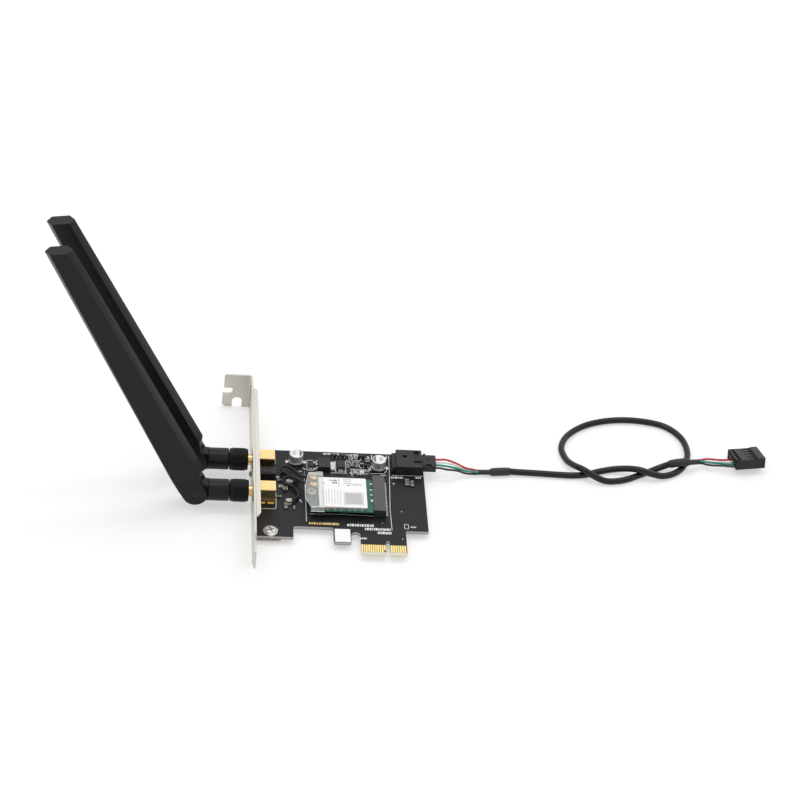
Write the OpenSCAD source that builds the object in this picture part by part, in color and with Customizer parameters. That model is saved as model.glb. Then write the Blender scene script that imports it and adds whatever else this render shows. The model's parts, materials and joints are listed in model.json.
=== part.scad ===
// Expansion card with a wireless module, two folding antennas and a header cable.
// Origin: outer face of the bracket, tips of the edge contacts, component face of the board.
// +X runs from the bracket over the board, +Y away from the edge contacts, +Z up.

/* [Circuit board] */
// Length of the board away from the bracket
board_l = 76.2; // [74:0.1:80]
// Far edge of the board, measured from the contact tips
board_w = 68.9; // [68.5:0.1:72]
// Thickness of the board
board_t = 1.6; // [1.4:0.05:1.8]
// Gap between the bracket's outer face and the board
board_gap = 2.2; // [1.8:0.1:2.6]

/* [Bracket] */
// Sheet thickness
sheet_t = 0.86; // [0.8:0.02:1]
// Width of the bracket's plate
plate_w = 18.42; // [18:0.02:19]
// Bracket's lower edge, below the component face
plate_drop = 3.95; // [3.6:0.05:4.3]
// Length from the tail's end to the screw tab
plate_l = 120.02; // [119:0.02:121]
// Reach of the screw tab
tab_l = 12.1; // [11.5:0.1:13]
// Depth of the flange along the upper edge
flange_d = 3; // [2.4:0.1:3.6]

/* [Antennas] */
// Distance between the two jacks
jack_pitch = 21.6; // [21:0.1:23]
// Height of the jacks' axis over the board
jack_z = 4.6; // [4.5:0.1:4.8]
// Length of a blade from hinge to tip
blade_l = 142; // [100:1:180]
// Lean of the blades from upright
blade_lean = 26.3; // [20:0.1:40]
// Width across the blade's side ridges at the tip
blade_tip_w = 11.2; // [10:0.1:13]
// Thickness of the blade at the tip
blade_tip_t = 6.1; // [5:0.1:7]
// Diameter of the swivel sleeve
sleeve_d = 9.8; // [9.4:0.1:10]

/* [Radio module] */
// Length of the module's board
module_l = 30; // [30:0.1:30.2]
// Width of the module's board
module_w = 22; // [21.8:0.1:22]
// Thickness of the module's board
module_t = 0.8; // [0.7:0.05:0.85]

/* [Cable] */
// Diameter of the cable's jacket
jacket_d = 3; // [2.8:0.1:3]
// Diameter of one wire
wire_d = 1; // [0.8:0.05:1]
// Diameter of a coaxial pigtail
pigtail_d = 1.2; // [1:0.05:1.2]

/* [Hidden] */

$fn = 48;
eps = 0.01;

// Board edges
board_x0 = board_gap;
board_x1 = board_gap + board_l;
foot_y = 9.45;
main_y = 16.75;
finger_x0 = 47.9;
finger_x1 = 68.2;
key_x = 59.8;
contact_pitch = 1;
// Bracket edges
plate_z0 = -plate_drop;
plate_z1 = plate_z0 + plate_w;
tab_y1 = 105.2;
tail_y0 = tab_y1 - plate_l;
// Jacks and antennas
jack_front_y = 34.4;
jack_rear_y = jack_front_y + jack_pitch;
jack_ys = [jack_front_y, jack_rear_y];
thread_r = 3.1;
thread_end = -7.4;
nut_x0 = -9.9;
nut_x1 = -1.6;
sleeve_x0 = -19.6;
sleeve_x1 = -10.2;
hinge_x = -25.3;
knuckle_r = 5.5;
cheek_w = 10;
tongue_w = 5;
pin_r = 1.25;
// Radio module
module_x0 = 26.1;
module_y = 35.3;
module_z = 2.65;
module_top = module_z + module_t;
shield_x0 = 29.7;
shield_x1 = 51.2;
shield_top = 4.85;
socket_x0 = 54.2;
socket_x1 = 59.7;
screw_x = 26.6;
screw_y = 35.8;
// Header and cable
header_x0 = 65.8;
header_x1 = 77.5;
header_y = 60.7;
header_top = 4.8;
plug_y = 60.5;
plug_z0 = 0.8;
plug_z1 = 4;
pin_z = 2.4;
plug_x1 = 83.9;
wire_pitch = 2;
floor_z = -plate_drop;
lie_z = floor_z + jacket_d / 2;
housing_pos = [230.1, 75.4, 0.3];
housing_turn = [-14.8, 0, 9.3];
housing_size = [14, 12.7, 5.08];
housing_pitch = 2.54;

// The cable's route along its middle line, from the near sleeve to the far one.
// It is laid in one loop that is twisted through itself three times.
near_sleeve_route = [[104.1, 61, -2.05], [108, 61.2, -2.05], [110.3, 61.4, -2.05],
    [114, 61.9, -2.05], [118.6, 62.3, -2.05]];
jacket_route = [[118.6, 62.3, -2.05], [124, 62.5, -2.45], [130, 62.3, -2.45], [136, 62, -2.45],
    [142, 61.7, -2.45], [148, 61.6, -2.45], [154, 62.6, -2.45], [160, 65, -2.45],
    [166, 66.6, -2.2], [172.5, 66.2, -1], [178.5, 63.6, 0.7], [184, 62.4, -0.4],
    [190, 63.2, -2.1], [196, 66.2, -2.45], [200.5, 71.5, -2.45], [203.4, 80.5, -2.45],
    [201.8, 91.5, -2.45], [194.5, 100, -2.45], [182, 103.3, -2.45], [169, 102.6, -2.45],
    [157, 98.2, -2.45], [148, 90.3, -2.45], [144.3, 81.5, -2.45], [145.4, 73.5, -2.3],
    [148, 67.6, -0.9], [152.4, 62.2, 0.75], [158, 59.2, -0.9], [163, 58.3, -2.3],
    [168.5, 58.9, -2.45], [173.5, 60.6, -2.45], [178.5, 63.4, -2.45], [184, 66.5, -2.45],
    [189, 69.1, -2], [193.4, 70.2, -0.7]];
far_sleeve_route = [[193.4, 70.2, -0.7], [197, 69.8, 0.6], [200, 69.8, 1.1], [203, 70.3, 0.8],
    [207.4, 72.6, -0.6]];

// The two thin coaxial leads between the module and the board
pigtail_rear_route = [[26.2, 45.5, 4.3], [23.9, 45.7, 4.3], [21.7, 47, 4.2], [19.6, 50, 3.9],
    [17.4, 53.1, 3.4], [15.2, 54.5, 2.9], [13.5, 53.6, 2.4], [14, 51.5, 2.1], [16.4, 49.8, 2],
    [18.9, 48.8, 1.9], [20.8, 48.2, 1.8], [21.5, 47.1, 1.6], [20.6, 46.1, 1.4], [18.7, 46, 1.3]];
pigtail_front_route = [[26.2, 41, 4.3], [23.8, 41.8, 4.3], [21.6, 43, 4.2], [19.5, 45.1, 4],
    [17.3, 46.6, 3.6], [15.2, 46.4, 2.9], [14, 45, 2.2], [15.3, 43.6, 1.7], [17.5, 42.8, 1.5],
    [19.4, 41.1, 1.4], [20.5, 38.7, 1.3], [20.7, 36.3, 1.3], [19.9, 34.3, 1.3], [18.1, 33.5, 1.3]];

// Points of an arc
function arc(c, r, a0, a1, n = 8) =
    [for (i = [0:n]) c + r * [cos(a0 + (a1 - a0) * i / n), sin(a0 + (a1 - a0) * i / n)]];
// A point on the smooth curve through four route points
function blend_point(a, b, c, d, t) =
    b + t / 2 * (c - a) + t * t / 2 * (2 * a - 5 * b + 4 * c - d)
    + t * t * t / 2 * (3 * b - a - 3 * c + d);
function at(p, i) = p[max(0, min(len(p) - 1, i))];
// A smooth curve through all route points, with the given steps between two of them
function curve(p, steps) = concat(
    [for (i = [0:len(p) - 2], s = [0:steps - 1])
        blend_point(at(p, i - 1), p[i], p[i + 1], at(p, i + 2), s / steps)],
    [p[len(p) - 1]]);
function unit(v) = v / norm(v);
function heading(p, i) = unit(at(p, i + 1) - at(p, i - 1));

// A closed round tube along a curve; r holds one radius for each of its points
module tube(path, r, sides = 8) {
    last = len(path) - 1;
    points = [for (i = [0:last])
        let (t = heading(path, i), u = unit(cross(t, [0, 0, 1])), v = cross(u, t))
        for (k = [0:sides - 1])
            path[i] + at(r, i) * (u * cos(k * 360 / sides) + v * sin(k * 360 / sides))];
    walls = [for (i = [0:last - 1], k = [0:sides - 1])
        let (a = i * sides + k, b = i * sides + (k + 1) % sides)
        each [[a, a + sides, b], [b, a + sides, b + sides]]];
    first_cap = [[for (k = [0:sides - 1]) k]];
    last_cap = [[for (k = [sides - 1:-1:0]) last * sides + k]];
    polyhedron(points, concat(walls, first_cap, last_cap), convexity = 6);
}

module along_x(x0, x1, r) {
    translate([x0, 0, 0]) rotate([0, 90, 0]) cylinder(h = x1 - x0, r = r);
}

module box(low, high) {
    translate(low) cube(high - low);
}

module circuit_board() {
    inner = 1.3;
    outline = concat(
        [[board_x0, foot_y], [18.2, foot_y]],
        arc([18.2 + inner, main_y - inner], inner, 180, 90),
        [[35.4, main_y], [36, main_y - 0.6], [36, 7.6], [36.6, 7], [43.1, 7], [43.7, 7.6]],
        arc([45.8, 12.2], 2.05, 180, 0),
        [[finger_x0, 0.8], [finger_x0 + 0.8, 0]],
        [[key_x - 0.9, 0]], arc([key_x, 8.1], 0.9, 180, 0), [[key_x + 0.9, 0]],
        [[finger_x1 - 0.8, 0], [finger_x1, 0.8], [finger_x1, 15.4], [finger_x1 + 0.6, 16]],
        [[board_x1, 16], [board_x1, board_w], [board_x0, board_w]]);
    color([0.2, 0.2, 0.21]) difference() {
        translate([0, 0, -board_t]) linear_extrude(board_t) polygon(outline);
        // chamfered leading edge of the contact tongue
        for (side = [0, 1])
            translate([finger_x0 - 1, 0, side ? -board_t : 0]) rotate([90, 0, 90])
                linear_extrude(finger_x1 - finger_x0 + 2)
                    polygon([[-1, side ? -1 : 1], [-1, side ? 0.9 : -0.9], [1.5, 0], [1.5, side ? -1 : 1]]);
        // clearance hole of the bracket's screw
        translate([8.1, 12.8, -board_t - 1]) cylinder(h = board_t + 2, r = 1.65);
        // soldered pins of the header and legs of the two jacks
        for (i = [0:3])
            translate([68.18, plug_y + (i - 1.5) * wire_pitch, -board_t - 1])
                cylinder(h = board_t + 2, r = 0.5, $fn = 24);
        for (y = jack_ys, dy = [-2.55, 2.55], x = [3.6, 8.7])
            translate([x, y + dy, -board_t - 1]) cylinder(h = board_t + 2, r = 0.6, $fn = 24);
    }
}

module edge_contacts() {
    thick = 0.04;
    color([0.86, 0.7, 0.36])
        for (side = [0, 1], i = [0:17]) {
            // eleven contacts before the key and seven after it
            x = i < 11 ? key_x - 1.5 - (10 - i) * contact_pitch : key_x + 1.5 + (i - 11) * contact_pitch;
            z = side ? -board_t - thick : 0;
            short = i == 10 && side == 0 ? 1.2 : 0;
            box([x - 0.35, 1.55 + short, z], [x + 0.35, 6.1, z + thick]);
        }
}

module bracket() {
    t = sheet_t;
    bend = 0.8;
    tail_w = 10.19;
    tail_z0 = 2;
    tab_x0 = -tab_l;
    color([0.78, 0.77, 0.75]) {
        difference() {
            union() {
                // plate with its narrower tail
                rotate([90, 0, 90]) linear_extrude(t) polygon(concat(
                    arc([tail_y0 + 1, tail_z0 + 1], 1, 180, 270, 4),
                    [[tail_y0 + 7.3, tail_z0], [tail_y0 + 10, plate_z0], [tab_y1 - t - bend, plate_z0]],
                    [[tab_y1 - t - bend, plate_z1], [tail_y0 + 10.2, plate_z1]],
                    [[tail_y0 + 7.3, tail_z0 + tail_w]],
                    arc([tail_y0 + 1, tail_z0 + tail_w - 1], 1, 90, 180, 4)));
                // flange that stiffens the upper edge
                intersection() {
                    translate([0, 6.6, 0]) rotate([90, 0, 0]) mirror([0, 0, 1])
                        linear_extrude(88.8) polygon(concat(
                            [[0, plate_z1 - 2.4]], arc([bend + t, plate_z1 - t - bend], bend + t, 180, 90),
                            [[flange_d, plate_z1], [flange_d, plate_z1 - t]],
                            arc([bend + t, plate_z1 - t - bend], bend, 90, 180), [[t, plate_z1 - 2.4]]));
                    translate([0, 0, plate_z1 - 3]) linear_extrude(4) polygon(concat(
                        [[-1, 6.6], [0.4, 6.6]], arc([0.4, 9.2], 2.6, 270, 360),
                        arc([0.4, 92.8], 2.6, 0, 90), [[-1, 95.4]]));
                }
                // tab for the chassis screw, bent outward
                translate([0, 0, plate_z0]) linear_extrude(plate_w) polygon(concat(
                    [[tab_x0, tab_y1 - t]],
                    arc([-bend, tab_y1 - t - bend], bend, 90, 0),
                    [[t, tab_y1 - t - bend]],
                    arc([-bend, tab_y1 - t - bend], bend + t, 0, 90),
                    [[tab_x0, tab_y1]]));
                // lower ear of the tab stands slightly further out
                box([tab_x0 - 0.5, tab_y1 - t, plate_z0 + 0.6], [tab_x0 + 1, tab_y1, 3.85]);
                // lug under the board's foot
                translate([0, 12.8, -board_t - t]) linear_extrude(t) polygon(concat(
                    [[0, -4.4]], arc([11, -2.4], 2, 270, 360), arc([11, 2.4], 2, 0, 90), [[0, 4.4]]));
            }
            // upper edge stands lower where the flange is bent over it
            box([-1, 6.5, plate_z1 - 0.02], [0.02, 95.5, plate_z1 + 1]);
            // relief notch at the flange's far end
            translate([-1, 96, plate_z1]) rotate([0, 90, 0]) cylinder(h = 3, r = 0.7);
            // openings of the two jacks and the light
            for (y = jack_ys)
                translate([0, y, jack_z]) along_x(-1, 2, 3.3);
            translate([0, 46.8, 3.9]) along_x(-1, 2, 1.7);
            // threaded hole of the lug
            translate([8.1, 12.8, -board_t - 3]) cylinder(h = 4, r = 1.5);
            // key notch in the tab's outer edge
            translate([0, tab_y1 - 3, 0]) rotate([-90, 0, 0]) linear_extrude(5) polygon(concat(
                [[tab_x0 - 2, -3.85]], [[-8.9, -3.85]], [[-8, -4.7], [-8, -6.1], [-8.5, -6.9]],
                [[tab_x0 - 2, -6.9]]));
            // slot for the chassis screw, open at the lower edge
            translate([-5.75, tab_y1 - 3, -0.7]) rotate([-90, 0, 0]) cylinder(h = 5, r = 2.25);
            box([-8, tab_y1 - 3, plate_z0 - 1], [-3.5, tab_y1 + 2, -0.7]);
            // cut corners of the tab
            for (z = [plate_z0, plate_z1])
                translate([tab_x0, tab_y1 - 3, z]) rotate([-90, 0, 0]) rotate([0, 0, 45])
                    cube([1.4, 1.4, 10], center = true);
        }
    }
}

module bracket_screw() {
    color([0.75, 0.75, 0.74]) translate([8.1, 12.8, 0]) difference() {
        rotate_extrude() polygon(concat(
            [[0, -3.5], [1.2, -3.5], [1.5, -3.2], [1.5, 0], [3.4, 0], [3.4, 0.35]],
            [[3.2, 0.7], [2.6, 0.98], [1.6, 1.18], [0, 1.25]]));
        for (a = [0, 90])
            rotate([0, 0, a + 20]) translate([-1.8, -0.42, 0.5]) cube([3.6, 0.84, 2]);
    }
}

module rf_jack(y) {
    color([0.9, 0.74, 0.42]) translate([0, y, 0]) difference() {
        union() {
            // square body with cut edges
            translate([sheet_t, 0, 0]) rotate([90, 0, 90]) linear_extrude(10.4 - sheet_t) polygon([
                [-3.3, 0.3], [-3, 0], [3, 0], [3.3, 0.3], [3.3, 8], [3, 8.3], [-3, 8.3], [-3.3, 8]]);
            // shoulder in the bracket's opening, neck and threaded barrel
            translate([0, 0, jack_z]) {
                along_x(0, sheet_t + eps, 3.2);
                along_x(-1.9, eps, 2.5);
                along_x(thread_end, -1.9 + eps, thread_r);
            }
            // legs soldered into the board
            for (dy = [-2.55, 2.55], x = [3.6, 8.7])
                translate([x, dy, -board_t - 1]) cylinder(h = board_t + 1.2, r = 0.5, $fn = 24);
        }
        translate([0, 0, jack_z]) {
            along_x(-12, -1.2, 2.1);
            // thread grooves
            for (i = [0:5])
                translate([-6.9 + i * 0.85, 0, 0]) rotate([0, 90, 0]) rotate_extrude()
                    polygon([[thread_r - 0.3, 0.2], [thread_r + 1, -0.1], [thread_r + 1, 0.5]]);
        }
    }
}

module rf_jack_front() {
    rf_jack(jack_front_y);
}

module rf_jack_rear() {
    rf_jack(jack_rear_y);
}

module jack_insulators() {
    color([0.94, 0.93, 0.9]) for (y = jack_ys)
        translate([0, y, jack_z]) difference() {
            along_x(-3.4, -1.2, 2.1);
            along_x(-4, -1, 0.46);
        }
}

module jack_pins() {
    color([0.88, 0.72, 0.4]) for (y = jack_ys)
        translate([0, y, jack_z]) {
            along_x(-6.4, -1.2, 0.46);
            translate([-6.4, 0, 0]) rotate([0, -90, 0]) cylinder(h = 0.5, r1 = 0.46, r2 = 0.2);
        }
}

module led_holder() {
    color([0.13, 0.13, 0.14]) difference() {
        union() {
            box([sheet_t, 44.4, 0], [10.8, 49.2, 6.5]);
            box([4, 44.1, 0], [8, 49.5, 1.2]);
        }
        translate([0, 46.8, 3.9]) along_x(0, 7.5, 1.55);
        box([3, 45.2, 5.9], [9, 45.6, 7]);
        box([3, 48, 5.9], [9, 48.4, 7]);
    }
}

module indicator_led() {
    color([0.35, 0.62, 0.42]) translate([0, 46.8, 3.9]) {
        along_x(0.2, 7.5, 1.5);
        translate([0.2, 0, 0]) difference() {
            sphere(r = 1.5);
            translate([0, -2, -2]) cube(4);
        }
    }
}

module module_socket() {
    y0 = 24.8;
    y1 = 49;
    color([0.1, 0.1, 0.11]) difference() {
        union() {
            box([socket_x0, y0, 0], [socket_x1, y1, 3.9]);
            // slightly raised middle
            box([socket_x0 + 0.3, y0 + 0.4, 0], [socket_x1 - 0.3, y1 - 0.4, 4]);
        }
        // slot that takes the module's edge
        box([socket_x0 - 1, module_y - 9.15, module_z - 0.05],
            [socket_x0 + 1.95, module_y + 9.15, module_top + 0.05]);
        // grooves of the contacts in the rear face
        for (i = [0:22])
            box([socket_x1 - 0.3, 25.65 + i, 2.4], [socket_x1 + 1, 26.25 + i, 3.4]);
    }
}

module socket_contacts() {
    color([0.8, 0.78, 0.72]) for (i = [0:22]) {
        y = 25.7 + i;
        box([socket_x1, y, 0], [socket_x1 + 1.1, y + 0.5, 0.25]);
        box([socket_x1, y, 0.25], [socket_x1 + 0.25, y + 0.5, 2.4]);
    }
}

module module_standoff() {
    color([0.8, 0.78, 0.7]) translate([screw_x, screw_y, 0]) difference() {
        union() {
            cylinder(h = module_z, r = 1.9);
            cylinder(h = 0.4, r = 2.1);
        }
        translate([0, 0, 0.6]) cylinder(h = 4, r = 1.0);
    }
}

module module_screw() {
    color([0.82, 0.8, 0.78]) translate([screw_x, screw_y, 0]) difference() {
        rotate_extrude() polygon(concat(
            [[0, 0.9], [0.8, 0.9], [1, 1.1], [1, module_top], [2.3, module_top], [2.3, module_top + 0.5]],
            arc([1.7, module_top + 0.5], 0.6, 0, 80, 4), [[0, module_top + 1.1]]));
        for (a = [0, 90])
            rotate([0, 0, a + 10]) translate([-1.1, -0.25, module_top + 0.5]) cube([2.2, 0.5, 2]);
    }
}

module module_board() {
    x1 = module_x0 + module_l;
    color([0.25, 0.5, 0.42]) difference() {
        translate([0, 0, module_z]) linear_extrude(module_t) polygon(concat(
            [[module_x0, module_y - module_w / 2], [x1 - 2.2, module_y - module_w / 2]],
            [[x1 - 2.2, module_y - 9], [x1, module_y - 9]],
            // key slots of the module's edge
            [[x1, module_y - 5.2], [x1 - 2.6, module_y - 5.2], [x1 - 2.6, module_y - 4], [x1, module_y - 4]],
            [[x1, module_y + 4.6], [x1 - 2.6, module_y + 4.6], [x1 - 2.6, module_y + 5.8], [x1, module_y + 5.8]],
            [[x1, module_y + 9], [x1 - 2.2, module_y + 9], [x1 - 2.2, module_y + module_w / 2]],
            [[module_x0, module_y + module_w / 2]]));
        translate([screw_x, screw_y, 0]) cylinder(h = 5, r = 1.75);
    }
}

module module_shield() {
    color([0.8, 0.8, 0.8]) difference() {
        translate([0, 0, module_top]) linear_extrude(shield_top - module_top) polygon(concat(
            arc([shield_x0 + 0.6, 25.6], 0.6, 180, 270, 4), arc([shield_x1 - 0.6, 25.6], 0.6, 270, 360, 4),
            arc([shield_x1 - 0.6, 44.7], 0.6, 0, 90, 4), arc([shield_x0 + 0.6, 44.7], 0.6, 90, 180, 4)));
        // pressed groove round the cover's rim
        difference() {
            box([shield_x0 - 1, 24, 4.5], [shield_x1 + 1, 47, 4.6]);
            box([shield_x0 + 0.15, 25.15, 4.4], [shield_x1 - 0.15, 45.15, 4.7]);
        }
    }
}

module module_label() {
    color([0.93, 0.93, 0.92]) translate([0, 0, shield_top]) linear_extrude(0.1) polygon([
        [shield_x0 + 2.6, 25.35], [shield_x1 - 0.4, 25.35], [shield_x1 - 0.4, 45],
        [shield_x0 + 0.4, 45], [shield_x0 + 0.4, 26], [shield_x0 + 2.6, 26]]);
}

module receptacle(pos) {
    translate(pos) {
        translate([-1.3, -1.3, 0]) cube([2.6, 2.6, 0.35]);
        difference() {
            cylinder(h = 1.1, r = 1);
            translate([0, 0, 0.3]) cylinder(h = 2, r = 0.8);
        }
        cylinder(h = 0.9, r = 0.25);
    }
}

// Snap-on plug over a receptacle, with the arm that grips the lead
module snap_plug(pos, turn) {
    translate(pos) rotate([0, 0, turn]) difference() {
        union() {
            translate([0, 0, 0.4]) cylinder(h = 0.95, r = 1.35);
            translate([0, 0, 0.4]) cylinder(h = 1.05, r = 1.05);
            box([0.6, -0.75, 0.55], [2, 0.75, 1.3]);
        }
        cylinder(h = 1.15, r = 1.02);
    }
}

rear_plug_pos = [28, 44.8];
front_plug_pos = [28, 40.3];
board_rear_pos = [16.9, 45.8];
board_front_pos = [16.5, 32.8];

module module_receptacles() {
    color([0.85, 0.7, 0.4]) for (p = [rear_plug_pos, front_plug_pos])
        receptacle([p[0], p[1], module_top]);
}

module module_plugs() {
    color([0.88, 0.74, 0.45]) {
        snap_plug([rear_plug_pos[0], rear_plug_pos[1], module_top], 158);
        snap_plug([front_plug_pos[0], front_plug_pos[1], module_top], 158);
    }
}

module board_receptacles() {
    color([0.85, 0.7, 0.4]) for (p = [board_rear_pos, board_front_pos])
        receptacle([p[0], p[1], 0]);
}

module board_plugs() {
    color([0.85, 0.82, 0.75]) {
        snap_plug([board_rear_pos[0], board_rear_pos[1], 0], 6);
        snap_plug([board_front_pos[0], board_front_pos[1], 0], 24);
    }
}

module pigtail(route) {
    path = curve(route, 3);
    color([0.07, 0.07, 0.08]) tube(path, [pigtail_d / 2]);
}

module pigtail_front() {
    pigtail(pigtail_front_route);
}

module pigtail_rear() {
    pigtail(pigtail_rear_route);
}

capacitors = [[20.4, 61.1], [57.9, 59]];

module capacitor_bases() {
    side = 3.3;
    color([0.08, 0.08, 0.08]) for (p = capacitors)
        translate([p[0], p[1], 0]) difference() {
            linear_extrude(0.9) polygon([[-side, -side], [side - 1, -side], [side, 1 - side],
                [side, side - 1], [side - 1, side], [-side, side]]);
            translate([0, 0, 0.5]) cylinder(h = 1, r = 3.16);
        }
}

module capacitor_cans() {
    r = 3.15;
    color([0.72, 0.72, 0.73]) for (p = capacitors)
        translate([p[0], p[1], 0]) rotate_extrude() polygon(concat(
            [[0, 0.5], [r, 0.5], [r, 1.2]], arc([r, 1.5], 0.2, 270, 90, 6), [[r, 1.8]],
            arc([r - 0.4, 4.8], 0.4, 0, 90, 4), [[0, 5.2]]));
}

// Body with a tab on one side and three legs on the other
regulator_pos = [33.2, 58.8, 0];

module voltage_regulator() {
    color([0.12, 0.12, 0.13]) translate(regulator_pos) rotate([90, 0, 0])
        translate([0, 0, -3.3]) linear_extrude(6.6) polygon([
            [-2.85, 0.15], [2.9, 0.15], [2.95, 1.1], [2.7, 2.3], [-2.7, 2.3], [-2.95, 1.1]]);
}

module gull_lead(width, out, h) {
    rotate([90, 0, 0]) translate([0, 0, -width / 2]) linear_extrude(width) polygon([
        [0, h], [out * 0.35, h], [out * 0.5, 0.22], [out, 0.22], [out, 0],
        [out * 0.36, 0], [out * 0.22, h - 0.22], [0, h - 0.22]]);
}

module regulator_leads() {
    color([0.8, 0.8, 0.78]) translate(regulator_pos) {
        for (dy = [-2.3, 2.3])
            translate([-2.96, dy, 0]) mirror([1, 0, 0]) gull_lead(0.8, 1.7, 1.1);
        // middle leg, cut short
        box([-3.8, -0.35, 0.9], [-2.94, 0.35, 1.1]);
        box([2.96, -2.65, 0], [4.7, 2.65, 0.5]);
    }
}

// Moulded parts with a terminal at each end: place, width, length and height
moulded = [[40.7, 58.3, 3.5, 4.6, 2.1], [27.1, 58.4, 2.5, 3.4, 1.5]];

module power_diode() {
    color([0.12, 0.12, 0.13]) for (m = moulded) {
        half = m[2] / 2;
        translate([m[0], m[1] + m[3] / 2, 0]) rotate([90, 0, 0]) linear_extrude(m[3]) polygon([
            [-half + 0.1, 0.2], [half - 0.1, 0.2], [half, m[4] / 2], [half - 0.2, m[4]],
            [-half + 0.2, m[4]], [-half, m[4] / 2]]);
    }
}

module diode_terminals() {
    color([0.8, 0.8, 0.78]) for (m = moulded, s = [-1, 1]) {
        half = m[2] * 0.32;
        end = m[1] + s * m[3] / 2;
        translate([m[0], s > 0 ? end : end - 0.2, 0]) box([-half, 0, 0], [half, 0.2, m[4] / 2]);
        translate([m[0], s > 0 ? end - 0.8 : end, 0]) box([-half, 0, 0], [half, 0.8, 0.19]);
    }
}

// Small moulded bodies on gull leads: place, turn and length
transistor_places = [[38.1, 66.1, 0, 2.9], [41.9, 66.2, 0, 2.9], [50.4, 66.2, 180, 2.9],
    [52.1, 59.9, 0, 4.1]];

module transistors() {
    color([0.12, 0.12, 0.13]) for (p = transistor_places)
        translate([p[0], p[1], 0]) rotate([0, 0, p[2]]) rotate([90, 0, 90])
            translate([0, 0, -p[3] / 2]) linear_extrude(p[3])
                polygon([[-0.65, 0.08], [0.65, 0.08], [0.72, 0.5], [0.6, 1], [-0.6, 1], [-0.72, 0.5]]);
}

module transistor_leads() {
    color([0.82, 0.82, 0.8]) for (p = transistor_places)
        translate([p[0], p[1], 0]) rotate([0, 0, p[2]]) {
            for (dx = [-0.95, 0.95])
                translate([dx, -0.7, 0]) rotate([0, 0, -90]) gull_lead(0.4, 0.6, 0.5);
            translate([0, 0.7, 0]) rotate([0, 0, 90]) gull_lead(0.4, 0.6, 0.5);
        }
}

// Resistors and capacitors: place, length, width, height and turn
chips = [[14.4, 52.6, 2, 1.2, 0.6, 140], [13, 47.5, 2, 1.2, 0.6, 0], [15.2, 41.4, 2, 2.4, 1.2, 0],
    [12, 36.2, 2.4, 1.2, 0.7, 0], [15.3, 29.8, 3.2, 1.6, 0.8, 90], [19, 29, 1.6, 0.8, 0.5, 90],
    [43.9, 60.6, 2.6, 1.1, 0.8, 90], [45.3, 60.5, 2.4, 0.8, 0.6, 90], [46.4, 60.5, 2.4, 0.8, 0.6, 90],
    [48.3, 60.2, 3.4, 1.8, 0.9, 90], [45, 65.3, 2, 1, 0.6, 90], [46.5, 65.3, 2, 1, 0.6, 90],
    [48.1, 65.4, 2, 1, 0.6, 90], [45.6, 63, 1.6, 0.8, 0.5, 0], [48, 63, 1.6, 0.8, 0.5, 0],
    [53, 63.1, 2.4, 1.9, 1.1, 90], [45.7, 52.6, 1.6, 0.8, 0.5, 90], [48.9, 53.2, 1.6, 0.8, 0.5, 0],
    [52.3, 55.4, 2, 1, 0.6, 0], [70.5, 48.8, 4, 1.9, 1, 90], [72.7, 48, 3.2, 1.5, 0.9, 90],
    [64.4, 12.4, 1.6, 0.8, 0.5, 90], [52.2, 12.4, 1.6, 0.8, 0.5, 90]];

module chip_parts() {
    color([0.55, 0.5, 0.42]) for (c = chips)
        translate([c[0], c[1], 0]) rotate([0, 0, c[5]])
            box([0.25 - c[2] / 2, -c[3] / 2, 0.04], [c[2] / 2 - 0.25, c[3] / 2, c[4]]);
}

module chip_terminals() {
    color([0.84, 0.84, 0.82]) for (c = chips, s = [-1, 1])
        translate([c[0], c[1], 0]) rotate([0, 0, c[5]])
            translate([s * (c[2] / 2 - 0.125) - 0.125, -c[3] / 2 - 0.02, 0])
                cube([0.25, c[3] + 0.04, c[4] + 0.02]);
}

module usb_header() {
    y0 = header_y - 6.05;
    y1 = header_y + 6.05;
    color([0.1, 0.1, 0.11]) difference() {
        union() {
            box([header_x0, y0, 0], [header_x1, y1, header_top]);
            box([header_x0 - 1.8, y0 + 1.2, 0], [header_x0 + eps, y1 - 0.6, 3.2]);
        }
        // cavity for the plug, open at the front
        box([70.3, plug_y - 4.2, plug_z0 - 0.2], [header_x1 + 1, plug_y + 4.2, plug_z1 + 0.1]);
        // latch window, release slot and the open slot over the plug's rib
        box([74, plug_y + 0.8, plug_z1 - 0.1], [76.2, plug_y + 5.4, 6]);
        box([68.8, plug_y + 0.8, plug_z1 - 0.1], [70.7, plug_y + 2.5, 6]);
        box([73.8, plug_y - 3.3, plug_z1 - 0.1], [header_x1 + 1, plug_y - 1.4, 6]);
        // channels of the pins
        for (i = [0:3]) {
            y = plug_y + (i - 1.5) * wire_pitch;
            box([67.8, y - 0.32, -1], [68.6, y + 0.32, pin_z + 0.32]);
            box([67.8, y - 0.32, pin_z - 0.32], [70.4, y + 0.32, pin_z + 0.32]);
        }
    }
}

module header_pins() {
    color([0.85, 0.83, 0.78]) for (i = [0:3]) {
        y = plug_y + (i - 1.5) * wire_pitch;
        box([67.88, y - 0.3, -board_t - 1.1], [68.48, y + 0.3, pin_z + 0.3]);
        box([68.48, y - 0.3, pin_z - 0.3], [75.6, y + 0.3, pin_z + 0.3]);
    }
}

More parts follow.
